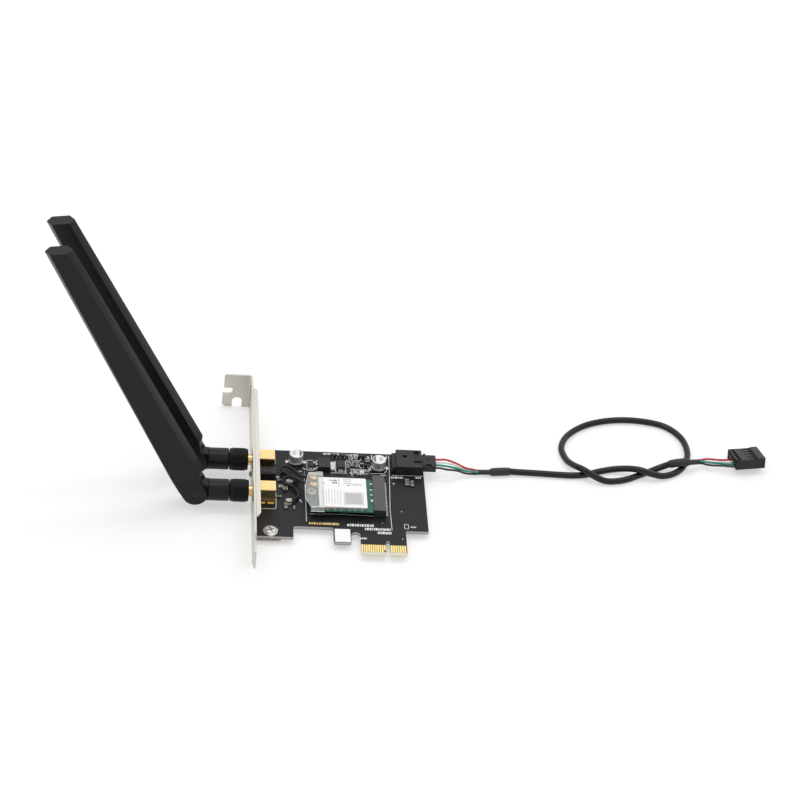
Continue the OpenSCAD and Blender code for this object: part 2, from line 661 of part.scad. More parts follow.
module usb_plug() {
    color([0.14, 0.14, 0.15]) difference() {
        union() {
            box([70.5, plug_y - 4, plug_z0], [plug_x1, plug_y + 4, plug_z1]);
            // latch nib, rib in the open slot and stop at the far side
            box([74.6, plug_y + 1.1, plug_z1 - eps], [75.9, plug_y + 2.5, plug_z1 + 0.6]);
            box([74.2, plug_y - 2.8, plug_z1 - eps], [78.4, plug_y - 1.9, plug_z1 + 0.3]);
            box([78, plug_y - 3.8, plug_z1 - eps], [plug_x1 - 0.3, plug_y + 3.8, plug_z1 + 0.2]);
            box([78.2, plug_y + 4 - eps, plug_z0 + 1], [79.4, plug_y + 4.6, plug_z1 + 0.3]);
        }
        for (i = [0:3]) {
            y = plug_y + (i - 1.5) * wire_pitch;
            box([70, y - 0.5, pin_z - 0.5], [76.5, y + 0.5, pin_z + 0.5]);
            translate([0, y, pin_z]) along_x(82.4, 85, 0.62);
        }
        // hollows in the grip's top
        box([79.2, plug_y - 4.5, plug_z1 - 0.5], [81.8, plug_y - 2.6, plug_z1 + 1]);
        box([79.4, plug_y + 0.8, plug_z1 - 0.3], [81.4, plug_y + 1.3, plug_z1 + 1]);
        // side of the rear face that is set back
        box([plug_x1 - 0.5, plug_y + 1.2, 0], [plug_x1 + 1, plug_y + 5, plug_z0 + 0.6]);
    }
}

// Place of a wire among the four in a sleeve that runs along t
function bundle(i, t) =
    let (u = unit(cross([0, 0, 1], t)), v = cross(t, u), half = wire_d / 2 + 0.03)
    (i < 2 ? half : -half) * u + (i % 2 == 0 ? half : -half) * v;

module near_wire(i) {
    y = plug_y + (1.5 - i) * wire_pitch;
    t = heading(near_sleeve_route, 0);
    end = near_sleeve_route[0] + bundle(i, t) - 0.12 * t;
    side = (1.5 - i) * 0.3;
    route = [[82.5, y, pin_z], [86, y, pin_z], [89.5 - abs(side), y + side, 2.1],
        [93.5, (y * 2 + end[1]) / 3 + side, 0.9], [98, (y + end[1] * 2) / 3, end[2] * 0.85 + 0.5],
        [101.5, (y + end[1] * 5) / 6, end[2] + 0.2], end];
    tube(curve(route, 2), [wire_d / 2]);
}

module wire_red_near() {
    color([0.72, 0.25, 0.25]) near_wire(0);
}

module wire_white_near() {
    color([0.92, 0.91, 0.9]) near_wire(1);
}

module wire_green_near() {
    color([0.2, 0.6, 0.5]) near_wire(2);
}

module wire_black_near() {
    color([0.08, 0.08, 0.08]) near_wire(3);
}

module near_sleeve() {
    path = curve(near_sleeve_route, 2);
    radii = [1.2, 1.2, 1.2, 1.25, 1.85, 1.9, 1.9, 1.9, 1.8];
    color([0.12, 0.12, 0.13]) tube(path, radii, 12);
}

module cable_jacket() {
    color([0.09, 0.09, 0.1]) tube(curve(jacket_route, 2), [jacket_d / 2]);
}

module far_sleeve() {
    path = curve(far_sleeve_route, 2);
    radii = [1.8, 1.9, 1.9, 1.9, 1.9, 1.85, 1.3, 1.25, 1.25];
    color([0.12, 0.12, 0.13]) tube(path, radii, 12);
}

// Place in the far housing, given in its own turned axes
function in_housing(p) =
    let (a = housing_turn[0], b = housing_turn[2],
        q = [p[0], p[1] * cos(a) - p[2] * sin(a), p[1] * sin(a) + p[2] * cos(a)])
    housing_pos + [q[0] * cos(b) - q[1] * sin(b), q[0] * sin(b) + q[1] * cos(b), q[2]];

module far_wire(i) {
    t = heading(far_sleeve_route, 4);
    start = far_sleeve_route[4] + bundle(i, t) + 0.12 * t;
    spread = (1.5 - i) * 0.3;
    y = (1 - i) * housing_pitch;
    face = -housing_size[0] / 2;
    end = in_housing([face + 1.6, y, -1.27]);
    door = in_housing([face - 0.4, y, -1.27]);
    route = [start, start + 2 * t + [0, spread / 2, 0],
        (start * 2 + door) / 3 + [0, 0.4 + spread * 1.4, -0.3],
        (start + door * 2) / 3 + [0.4, 0.3, -0.4], in_housing([face - 1.8, y * 0.94, -1.35]), door, end];
    tube(curve(route, 2), [wire_d / 2]);
}

module wire_red_far() {
    color([0.78, 0.3, 0.3]) far_wire(0);
}

module wire_white_far() {
    color([0.92, 0.91, 0.9]) far_wire(1);
}

module wire_green_far() {
    color([0.2, 0.6, 0.5]) far_wire(2);
}

module wire_black_far() {
    color([0.08, 0.08, 0.08]) far_wire(3);
}

module far_housing() {
    l = housing_size[0];
    w = housing_size[1];
    h = housing_size[2];
    color([0.13, 0.13, 0.14]) translate(housing_pos) rotate(housing_turn) difference() {
        union() {
            box([-l / 2, -w / 2, -h / 2], [l / 2, w / 2, h / 2 - 0.4]);
            // raised bands round the two ends
            box([l / 2 - 3.6, -w / 2, -h / 2], [l / 2, w / 2, h / 2]);
            box([-l / 2, -w / 2 + 0.4, -h / 2], [-l / 2 + 0.8, w / 2 - 0.4, h / 2 - 0.1]);
        }
        for (i = [-2:2]) {
            y = i * housing_pitch;
            // latch window over each contact with the groove that leads to it
            box([l / 2 - 5.4, y - 0.75, h / 2 - 1.3], [l / 2 - 3.6, y + 0.75, h]);
            box([l / 2 - 8, y - 0.35, h / 2 - 0.65], [l / 2 - 5.4, y + 0.35, h]);
            for (z = [-1.27, 1.27]) {
                // wire entry and contact opening
                box([-l / 2 - 1, y - 0.95, z - 0.95], [-l / 2 + 2.6, y + 0.95, z + 0.95]);
                box([l / 2 - 3, y - 0.5, z - 0.5], [l / 2 + 1, y + 0.5, z + 0.5]);
            }
        }
    }
}

module coupling_nut(y) {
    color([0.1, 0.1, 0.11]) translate([0, y, jack_z]) difference() {
        translate([nut_x0, 0, 0]) rotate([0, 90, 0]) rotate_extrude() polygon([
            [2.6, 0], [4.7, 0], [4.9, 0.3], [4.9, 1], [5.1, 1.2], [5.1, 7], [4.8, 7.3],
            [4.8, 8], [4.6, 8.3], [3.2, 8.3], [3.2, 2], [2.6, 2]]);
        // knurling
        for (k = [0:27])
            rotate([k * 360 / 28, 0, 0]) translate([nut_x0 + 1.7, 5.1, 0]) rotate([45, 0, 0])
                cube([4.8, 0.34, 0.34]);
    }
}

module coupling_nut_front() {
    coupling_nut(jack_front_y);
}

module coupling_nut_rear() {
    coupling_nut(jack_rear_y);
}

module antenna_base(y) {
    r = sleeve_d / 2;
    color([0.12, 0.12, 0.13]) translate([0, y, jack_z]) difference() {
        union() {
            // sleeve with its groove and hinge head
            translate([sleeve_x0, 0, 0]) rotate([0, 90, 0]) rotate_extrude() polygon([
                [0, 0], [r - 0.3, 0], [r, 0.3], [r, 9], [r - 0.4, 9.4], [2.5, 9.4], [2.5, 11.7],
                [3, 11.7], [3, 12.1], [0, 12.1]]);
            // tongue between the blade's cheeks
            rotate([90, 0, 0]) translate([0, 0, -tongue_w / 2]) linear_extrude(tongue_w) polygon(concat(
                arc([hinge_x, 0], 4.4, 90, 270, 16), [[sleeve_x0 + 0.5, -4.4], [sleeve_x0 + 0.5, 4.4]]));
        }
        translate([hinge_x, 0, 0]) rotate([90, 0, 0]) cylinder(h = 20, r = pin_r + 0.05, center = true);
        // bore for the centre contact
        along_x(-12, -7, 0.8);
    }
}

module antenna_base_front() {
    antenna_base(jack_front_y);
}

module antenna_base_rear() {
    antenna_base(jack_rear_y);
}

module antenna_socket(y) {
    color([0.88, 0.72, 0.4]) translate([0, y, jack_z]) difference() {
        along_x(-12, -3.8, 0.8);
        along_x(-8, -3, 0.53);
    }
}

module antenna_socket_front() {
    antenna_socket(jack_front_y);
}

module antenna_socket_rear() {
    antenna_socket(jack_rear_y);
}

module hinge_pin(y) {
    color([0.06, 0.06, 0.06]) translate([hinge_x, y, jack_z]) rotate([90, 0, 0])
        cylinder(h = cheek_w - 0.4, r = pin_r, center = true);
}

module hinge_pin_front() {
    hinge_pin(jack_front_y);
}

module hinge_pin_rear() {
    hinge_pin(jack_rear_y);
}

// Six-sided section of the blade: side ridges at left and right, flats of the given width
function blade_section(left, right, flat_l, flat_r, t) = [
    [-left, 0], [-flat_l, -t / 2], [flat_r, -t / 2], [right, 0], [flat_r, t / 2], [-flat_l, t / 2]];

module slice(z, section) {
    translate([0, 0, z]) linear_extrude(0.05) polygon(section);
}

module antenna_blade(y) {
    tip = blade_tip_w / 2;
    shoulder = blade_section(7.7, 8.3, 5.9, 6.6, cheek_w - 0.6);
    color([0.12, 0.12, 0.13]) translate([hinge_x, y, jack_z]) rotate([0, -blade_lean, 0])
        difference() {
            union() {
                hull() {
                    slice(10.5, shoulder);
                    slice(blade_l + 2, blade_section(tip, tip, 3.5, 3.5, blade_tip_t));
                }
                hull() {
                    slice(10.5, shoulder);
                    slice(5.6, blade_section(6.6, 5.4, 5.7, 5, cheek_w));
                }
                hull() {
                    slice(5.6, blade_section(6.6, 5.4, 5.7, 5, cheek_w));
                    rotate([90, 0, 0]) cylinder(h = cheek_w, r = knuckle_r - 0.4, center = true, $fn = 40);
                    rotate([90, 0, 0]) cylinder(h = cheek_w - 1, r = knuckle_r, center = true, $fn = 40);
                }
            }
            // slot for the base's tongue
            translate([-10, -tongue_w / 2 - 0.15, -10]) cube([20, tongue_w + 0.3, 15]);
            rotate([90, 0, 0]) cylinder(h = 20, r = pin_r, center = true);
            // slanted end
            translate([0, 0, blade_l]) rotate([0, 18.4, 0]) translate([-15, -10, 0]) cube([30, 20, 12]);
        }
}

module antenna_blade_front() {
    antenna_blade(jack_front_y);
}

module antenna_blade_rear() {
    antenna_blade(jack_rear_y);
}

circuit_board();
edge_contacts();
bracket();
bracket_screw();
rf_jack_front();
rf_jack_rear();
jack_insulators();
jack_pins();
led_holder();
indicator_led();
module_socket();
socket_contacts();
module_standoff();
module_screw();
module_board();
module_shield();
module_label();
module_receptacles();
module_plugs();
board_receptacles();
board_plugs();
pigtail_front();
pigtail_rear();
capacitor_bases();
capacitor_cans();
voltage_regulator();
regulator_leads();
power_diode();
diode_terminals();
transistors();
transistor_leads();
chip_parts();
chip_terminals();
usb_header();
header_pins();
usb_plug();
wire_red_near();
wire_white_near();
wire_green_near();
wire_black_near();
near_sleeve();
cable_jacket();
far_sleeve();
wire_red_far();
wire_white_far();
wire_green_far();
wire_black_far();
far_housing();
coupling_nut_front();
coupling_nut_rear();
antenna_base_front();
antenna_base_rear();
antenna_socket_front();
antenna_socket_rear();
hinge_pin_front();
hinge_pin_rear();
antenna_blade_front();
antenna_blade_rear();
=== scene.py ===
# Looks of a wireless expansion card: finishes, printed marks, solder, leads and the free cable.
# Lengths in the lists are millimetres in the part's own frame; MM turns them into metres.
import json
import math

import bmesh
import bpy
from mathutils import Matrix, Vector


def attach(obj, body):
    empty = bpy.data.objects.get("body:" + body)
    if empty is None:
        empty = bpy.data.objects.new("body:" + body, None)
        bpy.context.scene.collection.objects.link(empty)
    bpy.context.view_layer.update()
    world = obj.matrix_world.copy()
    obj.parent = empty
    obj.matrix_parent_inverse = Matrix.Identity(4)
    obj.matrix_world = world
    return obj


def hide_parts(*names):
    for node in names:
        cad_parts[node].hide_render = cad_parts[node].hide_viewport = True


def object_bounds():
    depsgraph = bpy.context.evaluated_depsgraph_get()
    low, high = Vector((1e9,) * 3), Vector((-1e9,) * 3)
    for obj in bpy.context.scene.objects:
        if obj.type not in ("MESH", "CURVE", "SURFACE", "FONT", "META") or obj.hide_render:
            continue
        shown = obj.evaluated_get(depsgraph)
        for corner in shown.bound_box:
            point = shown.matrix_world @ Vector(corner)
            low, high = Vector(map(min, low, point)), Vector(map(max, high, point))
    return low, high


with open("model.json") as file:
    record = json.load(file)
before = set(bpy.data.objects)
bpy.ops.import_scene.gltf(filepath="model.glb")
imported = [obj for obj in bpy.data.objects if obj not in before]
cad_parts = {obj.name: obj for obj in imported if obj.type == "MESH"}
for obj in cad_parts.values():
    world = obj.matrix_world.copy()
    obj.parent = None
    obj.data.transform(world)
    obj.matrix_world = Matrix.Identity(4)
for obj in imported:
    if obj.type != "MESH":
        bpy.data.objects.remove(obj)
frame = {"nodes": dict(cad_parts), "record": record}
bpy.context.scene.view_settings.view_transform = "Standard"
cad_low, cad_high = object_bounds()
nodes = frame["nodes"]
bodies = frame["record"]["behaviour"]["bodies"]
node_body = {node: body for body, group in bodies.items() for node in group}
node_slot = {part["node"]: part["material_slot"] for part in frame["record"]["subparts"]}
MM = 0.001
UP = Vector((0, 0, 1))
FLOOR_GAP = 0.02
FLOOR_Z = cad_low.z - FLOOR_GAP * MM

# Camera, fitted to the photograph
IMAGE_PX = 800
FOCAL_PX = 3020.18
SENSOR_MM = 36
CAMERA_YAW = math.radians(7.196)
CAMERA_ELEVATION = math.radians(38.379)
CAMERA_ROLL = math.radians(-6.728)
CAMERA_PLACE = Vector((-68.0, -987.8, 875.5)) * MM
NEAREST_SEEN = 0.05
FARTHEST_SEEN = 50


def add_camera():
    data = bpy.data.cameras.new("camera")
    data.sensor_width = SENSOR_MM
    data.lens = FOCAL_PX / IMAGE_PX * SENSOR_MM
    data.clip_start = NEAREST_SEEN
    data.clip_end = FARTHEST_SEEN
    camera = bpy.data.objects.new("camera", data)
    bpy.context.scene.collection.objects.link(camera)
    world_to_camera = (Matrix.Rotation(CAMERA_ROLL, 3, "Z")
                       @ Matrix.Rotation(CAMERA_ELEVATION - math.pi / 2, 3, "X")
                       @ Matrix.Rotation(CAMERA_YAW, 3, "Z"))
    camera.matrix_world = Matrix.Translation(CAMERA_PLACE) @ world_to_camera.transposed().to_4x4()
    bpy.context.scene.camera = camera


add_camera()


# Node helpers for the finishes
def start_material(name):
    material = bpy.data.materials.new(name)
    material.use_nodes = True
    tree = material.node_tree
    return material, tree, tree.nodes["Principled BSDF"]


def add_math(tree, operation, *values):
    """One step of arithmetic in the node tree. Each value is a socket or a number."""
    node = tree.nodes.new("ShaderNodeMath")
    node.operation = operation
    for socket, value in zip(node.inputs, values):
        if isinstance(value, bpy.types.NodeSocket):
            tree.links.new(value, socket)
        else:
            socket.default_value = value
    return node.outputs["Value"]


def add_noise(tree, scale, stretch=(1, 1, 1), detail=3):
    """Soft noise in the piece's own space; scale is about the number of spots to a metre."""
    place = tree.nodes.new("ShaderNodeTexCoord")
    mapping = tree.nodes.new("ShaderNodeMapping")
    mapping.inputs["Scale"].default_value = [scale * s for s in stretch]
    texture = tree.nodes.new("ShaderNodeTexNoise")
    texture.inputs["Scale"].default_value = 1
    texture.inputs["Detail"].default_value = detail
    tree.links.new(place.outputs["Object"], mapping.inputs["Vector"])
    tree.links.new(mapping.outputs["Vector"], texture.inputs["Vector"])
    return texture.outputs["Fac"]


def add_range(tree, value, low, high, from_low=0.3, from_high=0.7):
    """A value's way from from_low to from_high, turned into low to high."""
    node = tree.nodes.new("ShaderNodeMapRange")
    node.inputs["From Min"].default_value = from_low
    node.inputs["From Max"].default_value = from_high
    node.inputs["To Min"].default_value = low
    node.inputs["To Max"].default_value = high
    tree.links.new(value, node.inputs["Value"])
    return node.outputs["Result"]


def add_mix(tree, factor, a, b):
    """Colour a where the factor is 0 and b where it is 1; each is a socket or three numbers."""
    node = tree.nodes.new("ShaderNodeMix")
    node.data_type = "RGBA"
    tree.links.new(factor, node.inputs["Factor"])
    for socket, colour in (("A", a), ("B", b)):
        target = [s for s in node.inputs if s.name == socket and s.type == "RGBA"][0]
        if isinstance(colour, bpy.types.NodeSocket):
            tree.links.new(colour, target)
        else:
            target.default_value = (*colour, 1)
    return [s for s in node.outputs if s.type == "RGBA"][0]


def add_bump(tree, shader, height, depth, before=None):
    node = tree.nodes.new("ShaderNodeBump")
    node.inputs["Distance"].default_value = depth
    tree.links.new(height, node.inputs["Height"])
    if before:
        tree.links.new(before, node.inputs["Normal"])
    tree.links.new(node.outputs["Normal"], shader.inputs["Normal"])
    return node.outputs["Normal"]


def add_position(tree, axis):
    place = tree.nodes.new("ShaderNodeTexCoord")
    split = tree.nodes.new("ShaderNodeSeparateXYZ")
    tree.links.new(place.outputs["Object"], split.inputs["Vector"])
    return split.outputs[axis]


def add_up(tree):
    """How far a face looks up or down: 1 on a level face, 0 on an upright one."""
    geometry = tree.nodes.new("ShaderNodeNewGeometry")
    split = tree.nodes.new("ShaderNodeSeparateXYZ")
    tree.links.new(geometry.outputs["True Normal"], split.inputs["Vector"])
    return add_math(tree, "ABSOLUTE", split.outputs["Z"])


def add_weave(tree, scale):
    """Height of a plain weave: a sine along X times one along Y."""
    waves = [add_math(tree, "SINE", add_math(tree, "MULTIPLY", add_position(tree, axis), scale))
             for axis in ("X", "Y")]
    return add_math(tree, "MULTIPLY", *waves)


COAT_ROUGHNESS = 0.15


def finish(name, light, dark, rough, metal=0, specular=0.5, patch=300, grain=6000, depth=4e-6,
           stretch=(1, 1, 1), coat=0, alpha=1):
    """A finish of two close colours in soft patches, with uneven gloss and a fine grain."""
    material, tree, shader = start_material(name)
    shader.inputs["Metallic"].default_value = metal
    shader.inputs["Specular IOR Level"].default_value = specular
    shader.inputs["Coat Weight"].default_value = coat
    shader.inputs["Coat Roughness"].default_value = COAT_ROUGHNESS
    shader.inputs["Alpha"].default_value = alpha
    patches = add_noise(tree, patch, stretch)
    colour = add_mix(tree, add_range(tree, patches, 0, 1), dark, light)
    tree.links.new(colour, shader.inputs["Base Color"])
    fine = add_noise(tree, grain, stretch, 2)
    tree.links.new(add_range(tree, fine, *rough), shader.inputs["Roughness"])
    add_bump(tree, shader, fine, depth)
    return material


# Where a board shows its glass cloth. Heights and places are along Z and Y.
CLOTH_LIGHT = (0.86, 0.8, 0.64)
CLOTH_DARK = (0.7, 0.64, 0.48)
CLOTH_SIDE = (0.72, 0.68, 0.56)
CLOTH_IN_GAPS = (0.2, 0.15, 0.05)
GAPS_START_Y = (1.3 * MM, 1.5 * MM)
BARE_STEP = 0.1 * MM
EDGE_STEP_Z = (-0.9 * MM, -0.7 * MM)
EDGE_LOW_SHARE = 0.55
EDGE_LOW_SHADE = 0.3
EDGE_STREAK_SHADE = 0.6
LEVEL_FACES = (0.97, 0.985)
WEAVE_DEPTH = 1.2e-6
MASK_GRAIN_DEPTH = 2e-6


def add_bare_cloth(tree, streaks):
    """The cloth on a contact tongue: pale at the tips and dark in the gaps between the contacts."""
    cloth = add_mix(tree, add_range(tree, streaks, 0, 1), CLOTH_DARK, CLOTH_LIGHT)
    in_gaps = add_range(tree, add_position(tree, "Y"), 0, 1, *GAPS_START_Y)
    return add_mix(tree, in_gaps, cloth, CLOTH_IN_GAPS)


def mask_finish(name, light, dark, edge, rough, weave, specular, bare_end=None):
    """Solder mask over glass cloth. The edge colour shows on upright faces, and the bare
    cloth on all that lies before bare_end along Y."""
    material, tree, shader = start_material(name)
    shader.inputs["Specular IOR Level"].default_value = specular
    patches = add_noise(tree, scale=120)
    streaks = add_noise(tree, scale=900, stretch=(0.15, 0.15, 9))
    top = add_mix(tree, add_range(tree, patches, 0, 1), dark, light)
    # Upright faces are darker below the middle of the board's thickness
    edge_height_mix = add_range(tree, add_position(tree, "Z"), EDGE_LOW_SHARE, 1, *EDGE_STEP_Z)
    side = add_mix(tree, edge_height_mix, [c * EDGE_LOW_SHADE for c in edge], edge)
    side = add_mix(tree, add_range(tree, streaks, 0, 0.5), side, [c * EDGE_STREAK_SHADE for c in edge])
    if bare_end:
        bare = add_range(tree, add_position(tree, "Y"), 1, 0, bare_end - BARE_STEP, bare_end)
        top = add_mix(tree, bare, top, add_bare_cloth(tree, streaks))
        side = add_mix(tree, bare, side, CLOTH_SIDE)
    level = add_range(tree, add_up(tree), 0, 1, *LEVEL_FACES)
    tree.links.new(add_mix(tree, level, side, top), shader.inputs["Base Color"])
    tree.links.new(add_range(tree, patches, *rough), shader.inputs["Roughness"])
    woven = add_bump(tree, shader, add_weave(tree, weave), WEAVE_DEPTH)
    add_bump(tree, shader, add_noise(tree, scale=2500), MASK_GRAIN_DEPTH, woven)
    return material


def can_finish(name, light, dark, rough):
    """Drawn aluminium, with fine marks up the side of the can."""
    material, tree, shader = start_material(name)
    shader.inputs["Metallic"].default_value = 0.75
    colour = add_mix(tree, add_noise(tree, scale=500), dark, light)
    tree.links.new(colour, shader.inputs["Base Color"])
    drawn = add_noise(tree, scale=900, stretch=(4, 4, 0.3))
    tree.links.new(add_range(tree, drawn, *rough), shader.inputs["Roughness"])
    add_bump(tree, shader, drawn, depth=4e-6)
    return material


# Finishes: light colour, dark colour, range of roughness, and what else differs from a plain finish
PLASTIC = dict(patch=250, grain=7000, depth=5e-6)
METAL = dict(metal=1, patch=400, grain=5000, depth=2e-6)
ROUGH_TIN = dict(metal=1, grain=6000, depth=6e-6)
INK = dict(patch=2500)
FINISHES = {
    "gold_plate": ((0.82, 0.61, 0.29), (0.72, 0.51, 0.22), (0.2, 0.32), METAL),
    "contact_gold": ((0.9, 0.71, 0.32), (0.78, 0.59, 0.23), (0.2, 0.32), METAL),
    "tin": ((0.64, 0.64, 0.63), (0.4, 0.4, 0.4), (0.3, 0.5), dict(ROUGH_TIN, patch=1500)),
    "plug_tin": ((0.46, 0.44, 0.4), (0.2, 0.19, 0.17), (0.3, 0.45), dict(ROUGH_TIN, patch=1800)),
    "bracket_steel": ((0.59, 0.56, 0.51), (0.53, 0.5, 0.45), (0.31, 0.37),
                      dict(metal=1, patch=90, grain=2500, depth=8e-7, stretch=(6, 0.25, 6))),
    "screw_steel": ((0.66, 0.64, 0.62), (0.36, 0.35, 0.34), (0.2, 0.34), METAL),
    "shield_can": ((0.78, 0.78, 0.77), (0.66, 0.66, 0.66), (0.25, 0.4), METAL),
    "ptfe": ((0.86, 0.85, 0.82), (0.8, 0.79, 0.75), (0.4, 0.5), PLASTIC),
    "black_plastic": ((0.02, 0.02, 0.022), (0.013, 0.013, 0.014), (0.36, 0.5), dict(PLASTIC, specular=0.28)),
    "socket_plastic": ((0.034, 0.035, 0.038), (0.026, 0.026, 0.029), (0.28, 0.38),
                       dict(PLASTIC, specular=0.7)),
    "nut_plastic": ((0.006, 0.006, 0.007), (0.004, 0.004, 0.004), (0.36, 0.5), dict(PLASTIC, specular=0.16)),
    "antenna_shell": ((0.0105, 0.011, 0.0135), (0.0075, 0.008, 0.01), (0.32, 0.4),
                      dict(specular=0.2, patch=60, grain=4500, depth=9e-6)),
    "component_body": ((0.026, 0.026, 0.028), (0.018, 0.018, 0.02), (0.45, 0.6),
                       dict(specular=0.32, patch=900, grain=9000, depth=8e-6)),
    "ceramic": ((0.13, 0.12, 0.1), (0.08, 0.075, 0.06), (0.35, 0.5), PLASTIC),
    "led_green": ((0.1, 0.32, 0.16), (0.06, 0.24, 0.12), (0.08, 0.14), dict(coat=0.5)),
    "label_white": ((0.93, 0.93, 0.92), (0.89, 0.89, 0.89), (0.4, 0.5),
                    dict(specular=0.3, patch=600, grain=9000, depth=3e-6)),
    "coax_black": ((0.012, 0.012, 0.014), (0.007, 0.007, 0.008), (0.28, 0.4), dict(PLASTIC, specular=0.3)),
    "cable_sheath": ((0.006, 0.006, 0.007), (0.004, 0.004, 0.005), (0.12, 0.2),
                     dict(specular=0.32, patch=200, grain=4000, depth=4e-6)),
    "shrink_tube": ((0.02, 0.02, 0.022), (0.012, 0.012, 0.013), (0.42, 0.58),
                    dict(specular=0.4, patch=500, grain=3500, depth=1.2e-5)),
    "wire_red": ((0.62, 0.035, 0.05), (0.5, 0.025, 0.035), (0.3, 0.42), PLASTIC),
    "wire_white": ((0.85, 0.83, 0.8), (0.76, 0.74, 0.7), (0.3, 0.42), PLASTIC),
    "wire_green": ((0.02, 0.3, 0.23), (0.015, 0.23, 0.17), (0.3, 0.42), PLASTIC),
    "wire_black": ((0.014, 0.014, 0.015), (0.01, 0.01, 0.01), (0.3, 0.42), PLASTIC),
    "ink_bright": ((0.95, 0.95, 0.95), (0.91, 0.91, 0.91), (0.4, 0.5), dict(patch=900)),
    "ink_white": ((0.84, 0.84, 0.83), (0.7, 0.7, 0.69), (0.45, 0.6), INK),
    "ink_pale": ((0.45, 0.45, 0.45), (0.36, 0.36, 0.37), (0.5, 0.6), INK),
    "ink_grey": ((0.2, 0.2, 0.21), (0.13, 0.13, 0.14), (0.5, 0.6), INK),
    "ink_field": ((0.6, 0.6, 0.6), (0.42, 0.42, 0.43), (0.5, 0.6), dict(patch=1600)),
    "clear_film": ((0.82, 0.84, 0.82), (0.72, 0.75, 0.73), (0.22, 0.34),
                   dict(patch=500, grain=3000, depth=6e-6, alpha=0.2)),
    # Near-white, almost opaque finish of the rims that paint the highlights on the film's edges and fold
    "film_edge_highlight": ((0.9, 0.91, 0.9), (0.8, 0.82, 0.8), (0.25, 0.35),
                 dict(patch=500, grain=3000, depth=4e-6, alpha=0.92))}
finishes = {name: finish(name, light, dark, rough, **others)
            for name, (light, dark, rough, others) in FINISHES.items()}
finishes["can_aluminium"] = can_finish("can_aluminium", (0.76, 0.76, 0.77), (0.58, 0.58, 0.6), (0.3, 0.46))
finishes["board_mask"] = mask_finish(
    "board_mask", light=(0.013, 0.013, 0.016), dark=(0.008, 0.008, 0.01), edge=(0.6, 0.58, 0.55),
    rough=(0.34, 0.46), weave=6500, specular=0.2, bare_end=6.4 * MM)
finishes["module_mask"] = mask_finish(
    "module_mask", light=(0.03, 0.13, 0.09), dark=(0.02, 0.095, 0.065), edge=(0.06, 0.2, 0.14),
    rough=(0.28, 0.4), weave=7500, specular=0.3)
# Nodes that share a slot but have a finish of their own
OWN_FINISH = {
    "edge_contacts": "contact_gold", "board_plugs": "plug_tin", "module_screw": "plug_tin",
    "module_socket": "socket_plastic", "coupling_nut_front": "nut_plastic",
    "coupling_nut_rear": "nut_plastic"}


# Curves, meshes and tubes. The curve through a route's points is the one in the part's source.
def blend_point(a, b, c, d, t):
    return (b + t / 2 * (c - a) + t * t / 2 * (2 * a - 5 * b + 4 * c - d)
            + t * t * t / 2 * (3 * b - a - 3 * c + d))


def curve(route, steps):
    points = [Vector(p) for p in route]
    padded = [points[0], *points, points[-1]]
    smooth = [blend_point(*padded[i:i + 4], s / steps)
              for i in range(len(points) - 1) for s in range(steps)]
    return smooth + [points[-1]]


def heading(path, i):
    return (path[min(i + 1, len(path) - 1)] - path[max(i - 1, 0)]).normalized()


def spread_radii(radii, count):
    """One radius for each of count points, from a shorter list over the same length."""
    out = []
    for i in range(count):
        place = i / (count - 1) * (len(radii) - 1)
        low = min(int(place), len(radii) - 2)
        out.append(radii[low] + (radii[low + 1] - radii[low]) * (place - low))
    return out


def add_piece(name, mesh, slot, body, node=None, smooth=True):
    """A visible piece that rides on a body. Its slot is one of the record's, or a finish made here alone."""
    mesh.materials.append(finishes[OWN_FINISH.get(node, slot)])
    mesh.polygons.foreach_set("use_smooth", [smooth] * len(mesh.polygons))
    piece = bpy.data.objects.new(name, mesh)
    bpy.context.scene.collection.objects.link(piece)
    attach(piece, body)
    if node:
        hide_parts(node)
    return piece


def new_mesh(name, points, faces):
    mesh = bpy.data.meshes.new(name)
    mesh.from_pydata(points, [], faces)
    mesh.update()
    return mesh


def skin_faces(first, rings, sides, closed=False):
    """Faces of a skin over rings of points. It closes into a round, or has a cap at each end."""
    faces = []
    for ring in range(rings if closed else rings - 1):
        here = first + ring * sides
        there = first + (ring + 1) % rings * sides
        beside = [(k + 1) % sides for k in range(sides)]
        faces += [(here + k, there + k, there + beside[k], here + beside[k]) for k in range(sides)]
    if not closed:
        faces.append(tuple(first + k for k in range(sides)))
        faces.append(tuple(first + rings * sides - 1 - k for k in range(sides)))
    return faces


def tube_mesh(name, path, radii, sides):
    """A round tube with closed ends along a path in millimetres."""
    radii = spread_radii(radii, len(path)) if len(radii) > 1 else radii * len(path)
    points = []
    for i, (centre, radius) in enumerate(zip(path, radii)):
        ahead = heading(path, i)
        across = ahead.cross(UP).normalized()
        over = across.cross(ahead)
        for k in range(sides):
            turn = 2 * math.pi * k / sides
            points.append((centre + radius * (across * math.cos(turn) + over * math.sin(turn))) * MM)
    return new_mesh(name, points, skin_faces(0, len(path), sides))


def add_tube(name, node, path, radii, sides):
    """A tube that stands for a node."""
    return add_piece(name, tube_mesh(name, path, radii, sides), node_slot[node], node_body[node], node)


# Rounded edges
SAME_PLACE = 1e-6
FLAT_ANGLE = math.radians(0.4)
SHARP_ANGLE = math.radians(28)
SHADED_ANGLE = math.radians(32)
# Rigid nodes whose edges are rounded: the width of the rounding in millimetres
ROUNDED = {
    "bracket": 0.12, "rf_jack_front": 0.08, "rf_jack_rear": 0.08, "led_holder": 0.12,
    "module_socket": 0.06, "usb_header": 0.1, "usb_plug": 0.1, "far_housing": 0.1,
    "antenna_base_front": 0.14, "antenna_base_rear": 0.14, "antenna_blade_front": 0.35,
    "antenna_blade_rear": 0.35, "voltage_regulator": 0.08, "power_diode": 0.08,
    "coupling_nut_front": 0.06, "coupling_nut_rear": 0.06}


